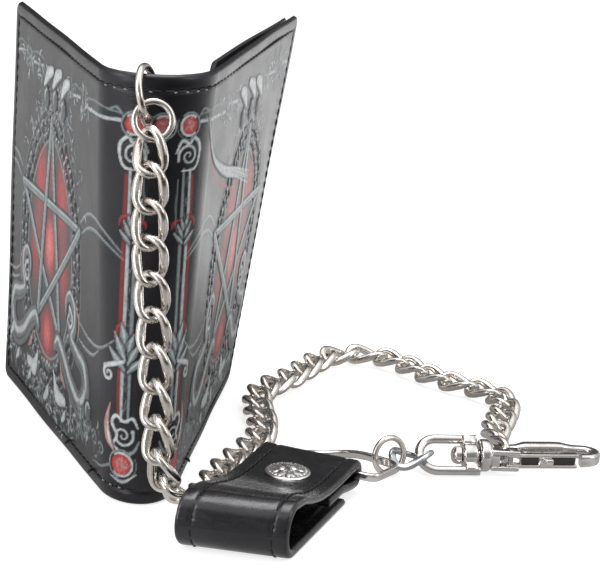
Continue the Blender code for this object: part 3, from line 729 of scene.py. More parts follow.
def draw_frame(art, centre, rng):
    """Two rows of beads with small curled leaves between them, and a moulding on each side."""
    for reach, count, size in ((24.4, 66, 1.35), (28.2, 80, 1.2)):
        for i in range(count):
            angle = 2 * math.pi * (i + rng.uniform(-0.25, 0.25)) / count
            spread = rng.uniform(-0.5, 0.5)
            u, v = pointed_oval(centre, reach + spread, angle)
            big = size * rng.uniform(0.75, 1.2)
            grey = rng.uniform(0.45, 1.1)
            art.disc((u, v), (big, big), tuple(grey * c for c in SLATE), 0.38)
            turn = rng.uniform(-0.5, 1.2)
            glint = [(u - 0.75 * big * math.cos(turn), v + 0.5 * big),
                     (u, v + 0.75 * big * math.sin(turn + 1.0)), (u + 0.7 * big, v - 0.3 * big)]
            art.stroke(glint, [0.25, 0.6 * big, 0.25], PALE, 0.42, 0.75 * grey)
    for _ in range(150):
        angle = rng.uniform(0, 2 * math.pi)
        reach = rng.uniform(22.8, 30.5)
        draw_leaf(art, pointed_oval(centre, reach, angle), rng, 0.75, 0.75)
    for reach, line, strength in ((31.0, 0.7, 0.45), (22.0, 0.9, 0.75)):
        path = [pointed_oval(centre, reach, 2 * math.pi * i / 60) for i in range(61)]
        art.stroke(path, [line], TEAL, 0.3, strength, steps=2)


def draw_leaf(art, at, rng, strength, size=1.0):
    turn = rng.uniform(0, 2 * math.pi)
    bend = rng.uniform(-0.9, 0.9)
    long = rng.uniform(0.8, 2.1) * size
    middle = (at[0] + long * math.cos(turn), at[1] + long * math.sin(turn))
    tip = (middle[0] + long * math.cos(turn + bend), middle[1] + long * math.sin(turn + bend))
    colour = PALE if rng.random() < 0.35 else TEAL
    art.stroke([at, middle, tip], [0.3, rng.uniform(0.6, 1.3) * size, 0.15], colour, 0.22,
               strength * rng.uniform(0.35, 0.9), steps=3, dark_edge=rng.random() < 0.5)


def draw_crest(art, rng):
    """Three pale leaves over round buds above the medallion, in a bed of small leaves."""
    for _ in range(170):
        u = 62.5 + rng.normal(0, 13.0)
        v = 91.0 - 0.021 * (u - 62.5) ** 2 + rng.normal(0, 2.6)
        draw_leaf(art, (u, v), rng, 0.8, 0.85)
    for u, v, size in ((69.4, 97.0, 1.0), (60.6, 98.0, 1.05), (51.4, 97.2, 1.0)):
        bud = (u + 1.6, v - 6.2)
        art.disc(bud, (2.9, 3.4), DEEP, 0.2)
        art.disc(bud, (2.4, 2.9), SLATE, 0.45)
        art.stroke(placed(bud, ((1.6, -1.6), (1.7, 0.8), (0.0, 2.2))), [0.5, 1.1, 0.7], PALE, 0.45, 0.8)
        art.stroke(placed(bud, ((-1.6, 1.4), (-1.2, -1.2))), [0.4, 0.7], TEAL, 0.4, 0.8)
        petal = placed((u, v), ((4.2 * size, -3.2), (0.6, 0.1), (-3.6 * size, 1.9)))
        art.stroke(petal, [1.4, 4.2, 2.6], PALE, 0.5, dark_edge=True)
        art.stroke([(u + 3.0, v - 3.6), (u, v - 1.6), (u - 2.6, v - 0.2)], [0.3, 0.8, 0.3], SLATE, 0.0, 0.7)


def draw_scrolls(art, centre, rng):
    """A broad volute on each side of the medallion's foot, with pointed leaves between them."""
    for _ in range(260):
        u = centre[0] + rng.uniform(-40, 42)
        v = 8.6 + 0.0035 * (u - centre[0]) ** 2 + rng.normal(0, 2.4)
        draw_leaf(art, (u, max(v, 4.9)), rng, 0.8, 1.05)
    for side in (-1, 1):
        path = placed(centre, ((18.2, -12.5), (18.4, -8.6), (22.0, -6.4), (26.0, -9.0), (26.0, -14.0),
                               (23.5, -18.0), (28.5, -20.5), (34.5, -22.5), (36.0, -28.5), (31.0, -33.5),
                               (23.5, -31.0), (17.0, -25.5), (11.5, -22.5), (8.8, -24.5)), side)
        body = [1.4, 2.8, 3.6, 3.8, 3.6, 3.8, 5.4, 6.6, 7.2, 7.4, 7.0, 6.4, 5.6, 3.4]
        art.stroke(path, body, (0.15, 0.165, 0.17), 0.55, dark_edge=True)
        art.stroke([(u, v + 1.0) for u, v in path], [0.3 * w for w in body], PALE, 0.0, 0.75, edge=0.6)
        art.stroke([(u, v - 1.6) for u, v in path[5:]], [0.4, 0.8, 0.8, 0.4], DEEP, 0.0, 0.6, edge=0.6)
        curl = spiral((centre[0] + side * 21.4, centre[1] - 12.8), 3.2, 90, -side * 1.2)
        art.stroke(curl, [1.4, 0.8, 0.3], PALE, 0.5, 0.9)
        shade = placed(centre, ((27.0, -7.0), (29.5, -11.0), (28.6, -16.0)), side)
        art.stroke(shade, [0.4, 1.3, 0.4], ROSE, 0.3, 0.7)
        leaf = placed(centre, ((17.5, -37.5), (11.5, -37.5), (8.0, -31.5)), side)
        art.stroke(leaf, [3.0, 5.2, 0.6], PALE, 0.5, 0.95, dark_edge=True)
        bud = placed(centre, ((18.5, -33.5), (15.5, -31.0), (13.5, -27.5)), side)
        art.stroke(bud, [0.5, 2.2, 0.4], ROSE, 0.45, 0.8, dark_edge=True)
    petals = ((98.0, 17.5, 1.5), (92.0, 11.5, 1.2), (61.5, 10.5, 1.7), (46.0, 9.0, 1.2), (79.5, 9.5, 1.2))
    for w, z, size in petals:
        art.stroke([(w + 1.4 * size, z - 1.5 * size), (w, z), (w - 0.6 * size, z + 1.6 * size)],
                   [1.2 * size, 1.9 * size, 0.3], PALE, 0.45, 0.8, dark_edge=True)
    # curls that trail off towards the spine
    art.disc((25.2, 18.2), (2.8, 3.2), DEEP, 0.2)
    art.disc((25.2, 18.2), (2.3, 2.7), SLATE, 0.4)
    art.stroke([(26.8, 16.4), (26.8, 19.0), (25.0, 20.4), (23.4, 19.6)], [0.4, 1.0, 1.0, 0.4], PALE, 0.4, 0.7)
    for w, z, size in ((19.4, 13.0, 2.3), (14.2, 12.0, 1.8), (27.0, 11.8, 2.0)):
        art.stroke(spiral((w, z), size, 30, 1.3), [0.8, 0.6, 0.3], TEAL, 0.35, 0.8)
    for _ in range(36):
        draw_leaf(art, (rng.uniform(16, 34), rng.normal(12.0, 3.6)), rng, 0.6, 0.9)


def draw_rails(art, at, far, rng):
    """Thin double lines under the top edge, with small sprays of leaves between."""
    for start, end in ((at + 4.0, 30.0), (36.0, 45.0), (75.0, 88.0), (97.0, far - 1.0)):
        art.stroke([(start, 98.3), (end, 97.2)], [0.9], PALE, 0.25, 0.8)
        art.stroke([(start, 100.1), ((start + end) / 2, 100.7), (end, 99.6)], [0.55], TEAL, 0.2, 0.7)
    for middle, count, spread in ((33.0, 46, 2.8), (92.5, 60, 3.6), (79.0, 22, 2.6), (45.0, 22, 2.2)):
        for _ in range(count):
            draw_leaf(art, (middle + rng.normal(0, spread), 97.3 + rng.normal(0, 2.4)), rng, 1.0, 0.9)
    art.stroke([(at + 3.0, 99.2), (at + 5.0, 101.2), (at + 7.5, 100.6)], [0.3, 0.8, 0.3], TEAL, 0.2, 0.8)


def draw_loops(art, at):
    """Faint curved pairs of lines between the column and the medallion, and beyond it."""
    loops = (((34.5, 66.0), (27.0, 70.4), (20.0, 71.2), (14.0, 69.4), (at + 2.0, 65.2)),
             ((33.0, 63.6), (26.0, 67.0), (18.7, 68.0), (13.0, 66.6), (at + 1.6, 63.6)),
             ((34.2, 39.6), (27.0, 37.8), (20.0, 37.8), (14.0, 39.4), (at + 3.4, 42.4)),
             ((34.0, 34.8), (28.0, 34.0), (22.0, 34.6), (17.0, 37.4)),
             ((94.0, 66.0), (99.0, 68.4), (105.0, 69.2)), ((95.0, 63.0), (100.0, 65.4), (105.5, 66.0)),
             ((94.0, 37.0), (99.0, 34.6), (105.0, 34.2)), ((94.0, 34.0), (100.0, 32.0), (105.5, 32.2)))
    for line in loops:
        art.stroke(list(line), [0.4, 1.0, 0.9, 0.4], TEAL, 0.2, 0.6)
        art.stroke([(w, z + 0.3) for w, z in line], [0.2, 0.4, 0.2], PALE, 0.0, 0.45)


def draw_art(art, side, far):
    rng = np.random.default_rng(7 if side == "left" else 11)
    sign = side_sign(side)
    low_at, high_at = 6.6 + 1.25 * sign, 6.6 + 0.45 * sign
    centre = (63.7, 50.5)
    draw_rails(art, high_at, far, rng)
    draw_loops(art, high_at)
    draw_medallion(art, centre, rng)
    draw_crest(art, rng)
    draw_scrolls(art, centre, rng)
    if side == "right":
        plume = [(14.5, 99.0), (18.0, 92.0), (25.0, 85.5), (38.0, 80.0), (54.0, 76.0), (72.0, 70.5)]
        art.stroke(plume, [0.6, 1.2, 2.0, 3.2, 3.2, 0.5], SLATE, 0.4, 1.0, dark_edge=True)
        for k in range(7):
            line = [(w + rng.normal(0, 0.4), z + 0.35 * (k - 3) * i / 3) for i, (w, z) in enumerate(plume)]
            art.stroke(line[k // 3:], [0.2, 0.5, 0.7, 0.25], PALE, 0.0, 0.8)
        art.stroke([(16.0, 91.5), (26.0, 81.5), (42.0, 75.0), (58.0, 69.5)], [0.4, 1.2, 1.0, 0.3], RED, 0.1,
                   0.5)
    draw_column(art, low_at, high_at, rng)
    draw_roundel(art, (0.55 * sign, 97.7), 2.3, rng)
    draw_roundel(art, (high_at + 0.4, 97.7), 2.3, rng)
    draw_roundel(art, (low_at + (0.6 if side == "left" else 1.6), 10.4), 2.9, rng)
    foot = (low_at, 0.0)
    art.stroke(placed(foot, ((4.5, 9.4), (9.0, 7.4), (14.0, 7.0))), [0.9, 0.6, 0.3], TEAL, 0.2, 0.8)
    art.stroke(placed(foot, ((-3.5, 8.2), (0.0, 5.8), (4.0, 6.8))), [0.4, 0.9, 0.4], PALE, 0.2, 0.8)


# The outer leather ----------------------------------------------------------------------------------

def edge_roll(from_edge, thick):
    """How far the face turns in where it rolls over an edge."""
    radius = thick / 2
    inside = np.clip(1 - from_edge / radius, 0.0, 1.0)
    return radius * (1 - np.sqrt(1 - inside ** 2))


def stitch_valley(from_edge, at):
    return 0.22 * np.exp(-((from_edge - at) / 0.5) ** 2) - 0.10 * np.exp(-((from_edge - at + 1.7) / 1.0) ** 2)


def outer_grid(side, columns, rows):
    """Places across and up for half the leather, its free corners rounded, and their distance to an edge."""
    share = np.linspace(0.0, 1.0, columns + 1)
    across = np.zeros((rows + 1, columns + 1))
    up = np.zeros_like(across)
    edge = np.zeros_like(across)
    for j in range(rows + 1):
        z = HEIGHT * j / rows
        end = sheet_end(side, z)
        from_side = end - share * end
        from_top = np.full_like(share, min(z, HEIGHT - z))
        edge[j] = np.minimum(from_side, from_top)
        dx, dz = CORNER - from_side, CORNER - from_top
        corner = (dx > 0) & (dz > 0)
        r = np.maximum(dx, dz)
        long = np.maximum(np.hypot(dx, dz), 1e-9)
        from_side = np.where(corner, CORNER - dx * r / long, from_side)
        moved = np.where(corner, CORNER - dz * r / long, from_top)
        across[j] = end - from_side
        up[j] = moved if z < HEIGHT / 2 else HEIGHT - moved
    return across, up, edge


def gentle_waves(across, up, side):
    """The slow unevenness of used leather."""
    shift = 0.0 if side == "left" else 2.0
    return (0.16 * np.sin(across / 13.0 + shift) * np.sin(up / 21.0 + 0.7 + shift)
            + 0.08 * np.sin(across / 6.1 + up / 9.7 + shift))


def build_outer(side):
    columns = COARSE * round(107.0 / GRID / COARSE)
    rows = COARSE * round(HEIGHT / GRID / COARSE)
    across, up, edge = outer_grid(side, columns, rows)
    art = Print(across, up)
    draw_art(art, side, 106.0)
    relief = art.relief.reshape(across.shape) * smooth((edge - PRINT_MARGIN) / 0.6)
    waves = gentle_waves(across, up, side) * smooth(across / 12.0)
    depth = edge_roll(edge, COVER_THICK) + stitch_valley(edge, STITCH_IN) + waves - relief * RELIEF_DEPTH
    outer = leather_points(side, across, up, depth)
    # the inner face on a coarser grid, sharing the rolled edge's points
    pick_r, pick_c = np.arange(0, rows + 1, COARSE), np.arange(0, columns + 1, COARSE)
    in_depth = COVER_THICK - edge_roll(edge[np.ix_(pick_r, pick_c)], COVER_THICK)
    inner = leather_points(side, across[np.ix_(pick_r, pick_c)], up[np.ix_(pick_r, pick_c)], in_depth)
    points = [outer.reshape(-1, 3)]
    dense = np.arange((rows + 1) * (columns + 1)).reshape(rows + 1, columns + 1)
    count = dense.size
    n_r, n_c = len(pick_r), len(pick_c)
    coarse = np.zeros((n_r, n_c), int)
    extra = []
    for j in range(n_r):
        for i in range(n_c):
            if j in (0, n_r - 1) or i == n_c - 1:
                coarse[j, i] = dense[pick_r[j], pick_c[i]]
            else:
                coarse[j, i] = count + len(extra)
                extra.append(inner[j, i])
    points.append(np.array(extra))
    faces = []
    for j in range(rows):
        for i in range(columns):
            faces.append((dense[j, i], dense[j, i + 1], dense[j + 1, i + 1], dense[j + 1, i]))

    def run(j0, i0, j1, i1):
        """Points from one coarse corner towards the next, in full where they share the rolled edge."""
        on_edge = (j0 == j1 and j0 in (0, n_r - 1)) or (i0 == i1 == n_c - 1)
        if not on_edge:
            return [coarse[j0, i0]]
        steps = [(j0 * COARSE + (j1 - j0) * k, i0 * COARSE + (i1 - i0) * k) for k in range(COARSE)]
        return [dense[a, b] for a, b in steps]

    for j in range(n_r - 1):
        for i in range(n_c - 1):
            loop = run(j, i, j + 1, i) + run(j + 1, i, j + 1, i + 1)
            loop += run(j + 1, i + 1, j, i + 1) + run(j, i + 1, j, i)
            faces.append(tuple(loop))
    for j in range(n_r - 1):
        chain = [dense[j * COARSE + k, 0] for k in range(COARSE + 1)]
        back = [coarse[j + 1, 0], coarse[j, 0]]
        loop = chain + [v for v in back if v not in chain]
        faces.append(tuple(loop))
    points = np.concatenate(points)
    if side == "left":
        faces = [tuple(reversed(f)) for f in faces]
    made = add_piece("outer_leather_" + side, points, faces, LEATHER, slot="cover_leather", crease=50)
    paint(made, art, len(points))
    fold_leather(made)
    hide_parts("cover_" + side, *(["spine_panel"] if side == "left" else []))


def paint(piece, art, total):
    """Stores the print on a piece's points; those past the print's own are bare leather."""
    ink = np.ones((total, 4))
    ink[:, :3] = BLACK
    ink[:len(art.ink), :3] = art.ink
    colour = piece.data.color_attributes.new("ink", "FLOAT_COLOR", "POINT")
    colour.data.foreach_set("color", ink.ravel().astype(np.float32))
    inked = np.zeros(total)
    inked[:len(art.inked)] = art.inked
    amount = piece.data.attributes.new("inked", "FLOAT", "POINT")
    amount.data.foreach_set("value", inked.astype(np.float32))


def fold_leather(piece):
    """Bakes a piece's placement into its points."""
    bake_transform(piece)


# Stitches -------------------------------------------------------------------------------------------

def stitch_shape(start, end, out, radius=THREAD):
    """One stitch: a short bowed length of thread between two points of the leather."""
    start, end, out = (np.asarray(v, float) for v in (start, end, out))
    path, scales = [], []
    for t, lift, size in ((0.0, -0.9, 0.55), (0.06, 0.0, 0.85), (0.3, 0.75, 1.0), (0.7, 0.75, 1.0),
                          (0.94, 0.0, 0.85), (1.0, -0.9, 0.55)):
        path.append(start + (end - start) * t + out * radius * lift)
        scales.append(size)
    return sweep(path, [out] * len(path), circle_section(radius, 6), False, scales)


def stitch_line(places, outs, pitch=STITCH_PITCH, long=STITCH_LONG):
    """Stitches along a line of points, each with its outward direction."""
    places, outs = np.asarray(places, float), np.asarray(outs, float)
    along = np.concatenate([[0.0], np.cumsum(np.linalg.norm(np.diff(places, axis=0), axis=1))])
    shapes = []
    for k in range(int((along[-1] - long) / pitch) + 1):
        ends = [k * pitch, k * pitch + long]
        spots = [np.array([np.interp(s, along, places[:, c]) for c in range(3)]) for s in ends]
        out = unit([np.interp(sum(ends) / 2, along, outs[:, c]) for c in range(3)])
        shapes.append(stitch_shape(spots[0], spots[1], out))
    return shapes


def leather_line(side, controls, depth):
    """A line on a half of the outer leather through (across, up) places, with its outward directions."""
    controls = np.array(controls, float)
    places = leather_points(side, controls[:, 0], controls[:, 1], np.full(len(controls), depth))
    under = leather_points(side, controls[:, 0], controls[:, 1], np.full(len(controls), depth + 1.0))
    return places, places - under


def border(side, inset, corner):
    """The stitch line's places: along the top, down the free edge and back along the bottom."""
    line = [(w, HEIGHT - inset) for w in np.arange(0.5, sheet_end(side, HEIGHT) - inset - corner, 1.0)]
    for z0, a0, a1 in ((HEIGHT - inset - corner, 90, 0), (inset + corner, 0, -90)):
        end = sheet_end(side, z0) - inset - corner
        line += [(end + corner * math.cos(math.radians(a)), z0 + corner * math.sin(math.radians(a)))
                 for a in levels(a0, a1, 6)]
        if a1 == 0:
            line += [(sheet_end(side, z) - inset, z)
                     for z in np.arange(HEIGHT - inset - corner - 1, inset + corner, -1.0)]
    line += [(w, inset) for w in np.arange(sheet_end(side, 0.0) - inset - corner, 0.5, -1.0)]
    return line


def build_stitches(side):
    places, outs = leather_line(side, border(side, STITCH_IN, 1.2), STITCH_SUNK)
    shapes = stitch_line(places, outs)
    made = add_piece("stitches_" + side, *join_shapes(shapes), THREAD_BLACK, slot="cover_leather")
    fold_leather(made)
    # painted highlights on the thread: pale dots over the stitches along the top of the spine, and a few
    # along its foot
    count = int(16.0 / STITCH_PITCH)
    spots = [(STITCH_PITCH * (k + 0.87), HEIGHT - STITCH_IN - 0.35) for k in range(count)]
    spots += [(w, STITCH_IN + 0.3) for w, _ in spots[1:4]]
    dots = []
    for w, z in spots:
        places, outs = leather_line(side, [(w, z), (w + 0.7, z + 0.12)], 0.14)
        dots.append(stitch_shape(places[0], places[1], unit(outs[0]), 0.2))
    made = add_piece("stitch_crossings_" + side, *join_shapes(dots), THREAD_GLINT, slot="cover_leather")
    fold_leather(made)


def build_knots():
    """Small cut ends of thread at the lower edge of each cover."""
    for side, places in (("left", (41.0, 20.5)), ("right", (14.0, 28.0))):
        shapes = []
        for w in places:
            spots, outs = leather_line(side, [(w, STITCH_IN), (w + 0.4, STITCH_IN)], -0.2)
            out = unit(outs[0])
            path = [spots[0] - out * 0.4, spots[0] + out * 0.3, spots[0] + out * 0.7 + np.array([0, 0, -0.3]),
                    spots[0] + out * 0.9 + np.array([0, 0, -0.8])]
            shapes.append(sweep(path, [(1, 0, 0)] * 4, circle_section(0.42, 8), False, [0.6, 1.0, 0.9, 0.5]))
        made = add_piece("thread_ends_" + side, *join_shapes(shapes), THREAD_BLACK, slot="cover_leather")
        fold_leather(made)


# Linings --------------------------------------------------------------------------------------------

PANEL_INSET = 1.6
PANEL_TOP = {"left": 3.6, "right": 0.9}
PANEL_CUT = 4.5                 # the panel's upper corner beside the spine is cut away by this much
CARD_MOUTHS = (34.0, 62.0, 90.0)
PANEL_OFF = COVER_THICK + 0.7   # the panel's back, from the cover's outer face
PANEL_THICK = 1.2
CARD_STEP = 0.9                 # each slot's leather adds this much below its mouth
GAPE = {"left": 0.0, "right": 1.3}


def lining_gape(side, along, z):
    """How far the inner panel stands away from its cover; the right one bulges open near the top."""
    share = smooth((z - 50.0) / 58.0) * smooth((along - 4.0) / 12.0) * smooth((86.0 - along) / 50.0)
    return GAPE[side] * share


def build_lining(side):
    """The inner panel with three stepped card slots."""
    low_a, high_a = 2.5, COVER_WIDTH - PANEL_INSET
    low_z, high_z = PANEL_INSET, HEIGHT - PANEL_TOP[side]
    columns, rows = 110, 220
    a = np.linspace(low_a, high_a, columns + 1)[None, :] * np.ones((rows + 1, 1))
    share = np.linspace(0.0, 1.0, rows + 1)[:, None]
    top = high_z - PANEL_CUT * (1 - smooth((a - 3.0) / 12.0))
    z = low_z + (top - low_z) * share
    edge = np.minimum(np.minimum(a - low_a, high_a - a), np.minimum(z - low_z, top - z))
    gape = lining_gape(side, a, z)
    base = PANEL_OFF + gape
    thick = np.full_like(a, PANEL_THICK)
    for mouth in CARD_MOUTHS:
        dip = mouth - 2.2 * np.exp(-((a - 45.0) / 13.0) ** 2)
        lip = 0.25 * np.exp(-((z - dip + 0.9) / 0.6) ** 2)
        thick = thick + CARD_STEP * smooth((dip - z) / 0.5) + lip
    valley = 0.18 * np.exp(-((edge - 2.6) / 0.45) ** 2)
    across = spine_arc(side, z) + a
    face = leather_points(side, across, z, base + thick - edge_roll(edge, PANEL_THICK) - valley)
    back = leather_points(side, across, z, base + edge_roll(edge, PANEL_THICK))
    points, faces = closed_sheet(face, back)
    if side == "right":
        faces = [tuple(reversed(f)) for f in faces]
    add_piece("lining_" + side, points, faces, LINING, side + "_cover", ("inner_panel_" + side,),
              "lining_leather")
    # stitches round three sides of the card slots
    line = [(high_a - 2.6, height) for height in np.arange(high_z - 6.0, low_z + 3.0, -1.0)]
    line += [(along, low_z + 2.6) for along in np.arange(high_a - 3.0, low_a + 3.0, -1.0)]
    line += [(low_a + 2.6, height) for height in np.arange(low_z + 3.0, 88.0, 1.0)]
    depths = [PANEL_OFF + PANEL_THICK + CARD_STEP * sum(height < m for m in CARD_MOUTHS)
              + float(lining_gape(side, along, height)) - 0.1 for along, height in line]
    arcs = [Row(side, height).spine + along for along, height in line]
    heights = [height for _, height in line]
    places = leather_points(side, arcs, heights, depths)
    under = leather_points(side, arcs, heights, np.array(depths) - 1.0)
    shapes = stitch_line(places, places - under, 3.4, 2.5)
    add_piece("lining_stitches_" + side, *join_shapes(shapes), THREAD_BLACK, side + "_cover",
              slot="lining_leather")


def closed_sheet(face, back):
    """A closed solid between two grids of points, joined round their edges."""
    rows, columns = face.shape[:2]
    points = np.concatenate([face.reshape(-1, 3), back.reshape(-1, 3)])
    layer = rows * columns
    faces = []
    for r in range(rows - 1):
        for c in range(columns - 1):
            a = r * columns + c
            faces.append((a, a + columns, a + columns + 1, a + 1))
            faces.append((layer + a, layer + a + 1, layer + a + columns + 1, layer + a + columns))
    rim = [(0, c) for c in range(columns)] + [(r, columns - 1) for r in range(1, rows)]
    rim += [(rows - 1, c) for c in range(columns - 2, -1, -1)] + [(r, 0) for r in range(rows - 2, 0, -1)]
    for i, (r, c) in enumerate(rim):
        r2, c2 = rim[(i + 1) % len(rim)]
        a, b = r * columns + c, r2 * columns + c2
        faces.append((a, b, layer + b, layer + a))
    return points, faces


# Chain and rings ------------------------------------------------------------------------------------

def node_points(node):
    """The different points of a CAD node's mesh, in millimetres."""
    mesh = frame["nodes"][node].data
    flat = np.empty(len(mesh.vertices) * 3)
    mesh.vertices.foreach_get("co", flat)
    return np.unique(np.round(flat.reshape(-1, 3) / MM, 4), axis=0)


def node_box(node):
    """A CAD node's low and high corners and its middle, in millimetres."""
    low, high = (np.array(v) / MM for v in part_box(node))
    return low, high, (low + high) / 2


def link_shape(centre, along, normal, twist=LINK_TWIST, wire=LINK_WIRE * LINK_ENDS, bulge=LINK_BULGE,
               flat=0.0, steps=14, sides=12):
    """A twisted curb link: a loop with straight sides and round ends, turned about its length."""
    along = unit(along)
    normal = unit(np.asarray(normal, float) - along * np.dot(normal, along))
    across = np.cross(normal, along)
    straight = LINK_HALF - LINK_BEND
    loop = []
    for end in (1, -1):
        for i in range(steps + 1):
            turn = -math.pi / 2 + math.pi * i / steps
            loop.append((end * (straight + LINK_BEND * math.cos(turn)), end * LINK_BEND * math.sin(turn)))
    full, scales = [], []
    for i, (a, b) in enumerate(loop):
        full.append((a, b))
        a2, b2 = loop[(i + 1) % len(loop)]
        if abs(b - b2) < 1e-9:
            full += [(a + (a2 - a) * k / 8, b) for k in range(1, 8)]
    path, ups = [], []
    for a, b in full:
        scales.append(1.0 + bulge * float(smooth((3.6 - abs(a)) / 2.4)))
        turn = -math.radians(twist) * a / LINK_HALF
        sideways = across * math.cos(turn) + normal * math.sin(turn)
        path.append(np.asarray(centre, float) + along * a + sideways * b)
        ups.append(normal * math.cos(turn) - across * math.sin(turn))
    section = rounded_section(wire, wire * (1 - flat), wire * 0.55) if flat else circle_section(wire, sides)
    return sweep(path, ups, section, True, scales)


def turn_about(vector, axis, degrees):
    return np.array(Matrix.Rotation(math.radians(degrees), 3, Vector(axis)) @ Vector(vector))


def link_roll(number):
    """Degrees a link is turned about its length, past its upright or flat place."""
    from_top = max(0, FIRST_ROLLED + 1 - number) / FIRST_ROLLED
    to_hook = max(0, number - LINK_COUNT + LAST_ROLLED) / LAST_ROLLED
    rise = min(1.0, max(0.0, (number - LOW_START) / 4.0))
    fall = min(1.0, max(0.0, (LOW_END - number) / 3.0))
    return FIRST_ROLL * from_top + LAST_ROLL * to_hook + LOW_ROLL * rise * fall ** 2


def build_chain():
    starts = []
    for number in range(1, LINK_COUNT + 1):
        before = "chain_ring" if number == 1 else f"link_{number - 1:02d}"
        starts.append(np.array(JOINTS[f"link_{number:02d}_on_{before}"]["pos_m"]) / MM)
    last = node_points(f"link_{LINK_COUNT:02d}").mean(axis=0)
    starts.append(2 * last - starts[-1])
    for number, (start, end) in enumerate(zip(starts, starts[1:]), 1):
        height = (start[2] + end[2]) / 2
        lying = min(1.0, max(0.0, (16.0 - height) / 12.0))
        normal = turn_about((0.0, -(1 - lying), -lying), end - start, link_roll(number))
        sizes = {"wire": TIGHT_WIRE, "bulge": 0.0} if number in TIGHT_LINKS else {}
        shape = link_shape((start + end) / 2, end - start, normal, **sizes)
        name = f"link_{number:02d}"
        add_piece("curb_" + name, *shape, NICKEL, "chain_" + name, (name,), "nickel", 60)


def round_ring(centre, first, second, radius, wire, steps=72, sides=14):
    """A ring of wire in the plane of two directions."""
    turns = [2 * math.pi * i / steps for i in range(steps)]
    path = [centre + first * radius * math.cos(t) + second * radius * math.sin(t) for t in turns]
    return sweep(path, [np.cross(first, second)] * len(path), circle_section(wire, sides), True)


def fitted_ring(node):
    """A CAD ring's centre, two directions in its plane, and its centreline and wire radii."""
    points = node_points(node)
    centre = (points.max(axis=0) + points.min(axis=0)) / 2
    _, _, axes = np.linalg.svd(points - points.mean(axis=0), full_matrices=False)
    first, second, normal = axes
    wire = np.abs((points - centre) @ normal).max()
    outer = np.linalg.norm((points - centre) - np.outer((points - centre) @ normal, normal), axis=1).max()
    return centre, first, second, outer - wire, wire


def build_rings():
    rings = {"spine_ring": "jump_ring", "top_ring": "chain_ring", "small_round_ring": "small_ring"}
    for name, node in rings.items():
        add_piece(name, *round_ring(*fitted_ring(node)), NICKEL, node + "_body", (node,), "nickel", 60)
    low, high, middle = node_box("eyelet")
    reach = (high[1] - low[1]) / 2
    hole, body, flange = 2.6, 3.1, 3.4
    outline = [(-reach, hole + 0.15), (-reach + 0.1, hole + 0.4), (-reach + 0.3, body), (reach - 0.7, body),
               (reach - 0.6, flange - 0.15), (reach - 0.4, flange), (reach - 0.15, flange - 0.1),
               (reach, hole + 0.35), (reach - 0.2, hole), (-reach + 0.25, hole)]
    add_piece("spine_eyelet", *turned_ring(outline, middle, (0, 1, 0), 48), NICKEL, "spine", ("eyelet",),
              "nickel")


# Belt loop ------------------------------------------------------------------------------------------

def strap_axes():
    turn = math.radians(STRAP_TURN)
    return np.array([math.cos(turn), math.sin(turn), 0.0]), np.array([math.sin(turn), -math.cos(turn), 0.0])


def strap_point(s, z, w):
    along, across = strap_axes()
    skew = STRAP_SKEW * w / STRAP_WIDTH * max(0.0, 1.0 - s / 55.0)
    return np.array([*STRAP_CORNER, 0.0]) + along * (s + skew) + across * w + np.array([0.0, 0.0, z])


def arc(centre, radius, start, end, steps):
    turns = [math.radians(start + (end - start) * i / steps) for i in range(steps + 1)]
    return [(centre[0] + radius * math.cos(t), centre[1] + radius * math.sin(t)) for t in turns]


def top_run():
    line = arc((ROLL_CENTRE, ROLL_CENTRE), ROLL_MID, 180, 75, 6)
    line += [(14.0, 12.4), (20.0, 10.7), (27.0, 9.1), (34.0, 8.25), (STUD_AT, 8.0), (48.0, 8.0)]
    line += arc((FOLD_AT, FOLD_HEIGHT), FOLD_MID, 90, -90, 6)
    line += [(51.5, 3.9), (46.0, 4.9), (STUD_AT, 5.0), (INNER_END, 5.0)]
    return line


def flap_run():
    line = arc((ROLL_CENTRE, ROLL_CENTRE), ROLL_MID, 180, 270, 6)
    return line + [(s, STRAP_THICK / 2) for s in (15.0, 24.0, 32.0, STUD_AT, FLAP_END)]


def strap_lines(run, steps=8):
    """The strap's middle line, made smooth and even, and its normals in the side view."""
    curve = np.array(smooth_curve(run, steps))
    along = np.concatenate([[0.0], np.cumsum(np.linalg.norm(np.diff(curve, axis=0), axis=1))])
    count = int(along[-1] / 0.45)
    even = np.linspace(0.0, along[-1], count + 1)
    line = np.stack([np.interp(even, along, curve[:, k]) for k in (0, 1)], axis=1)
    tangent = np.gradient(line, axis=0)
    tangent[0] = (0.0, 1.0 if run[1][1] > run[0][1] else -1.0)
    tangent /= np.linalg.norm(tangent, axis=1)[:, None]
    return line, np.stack([-tangent[:, 1], tangent[:, 0]], axis=1), even


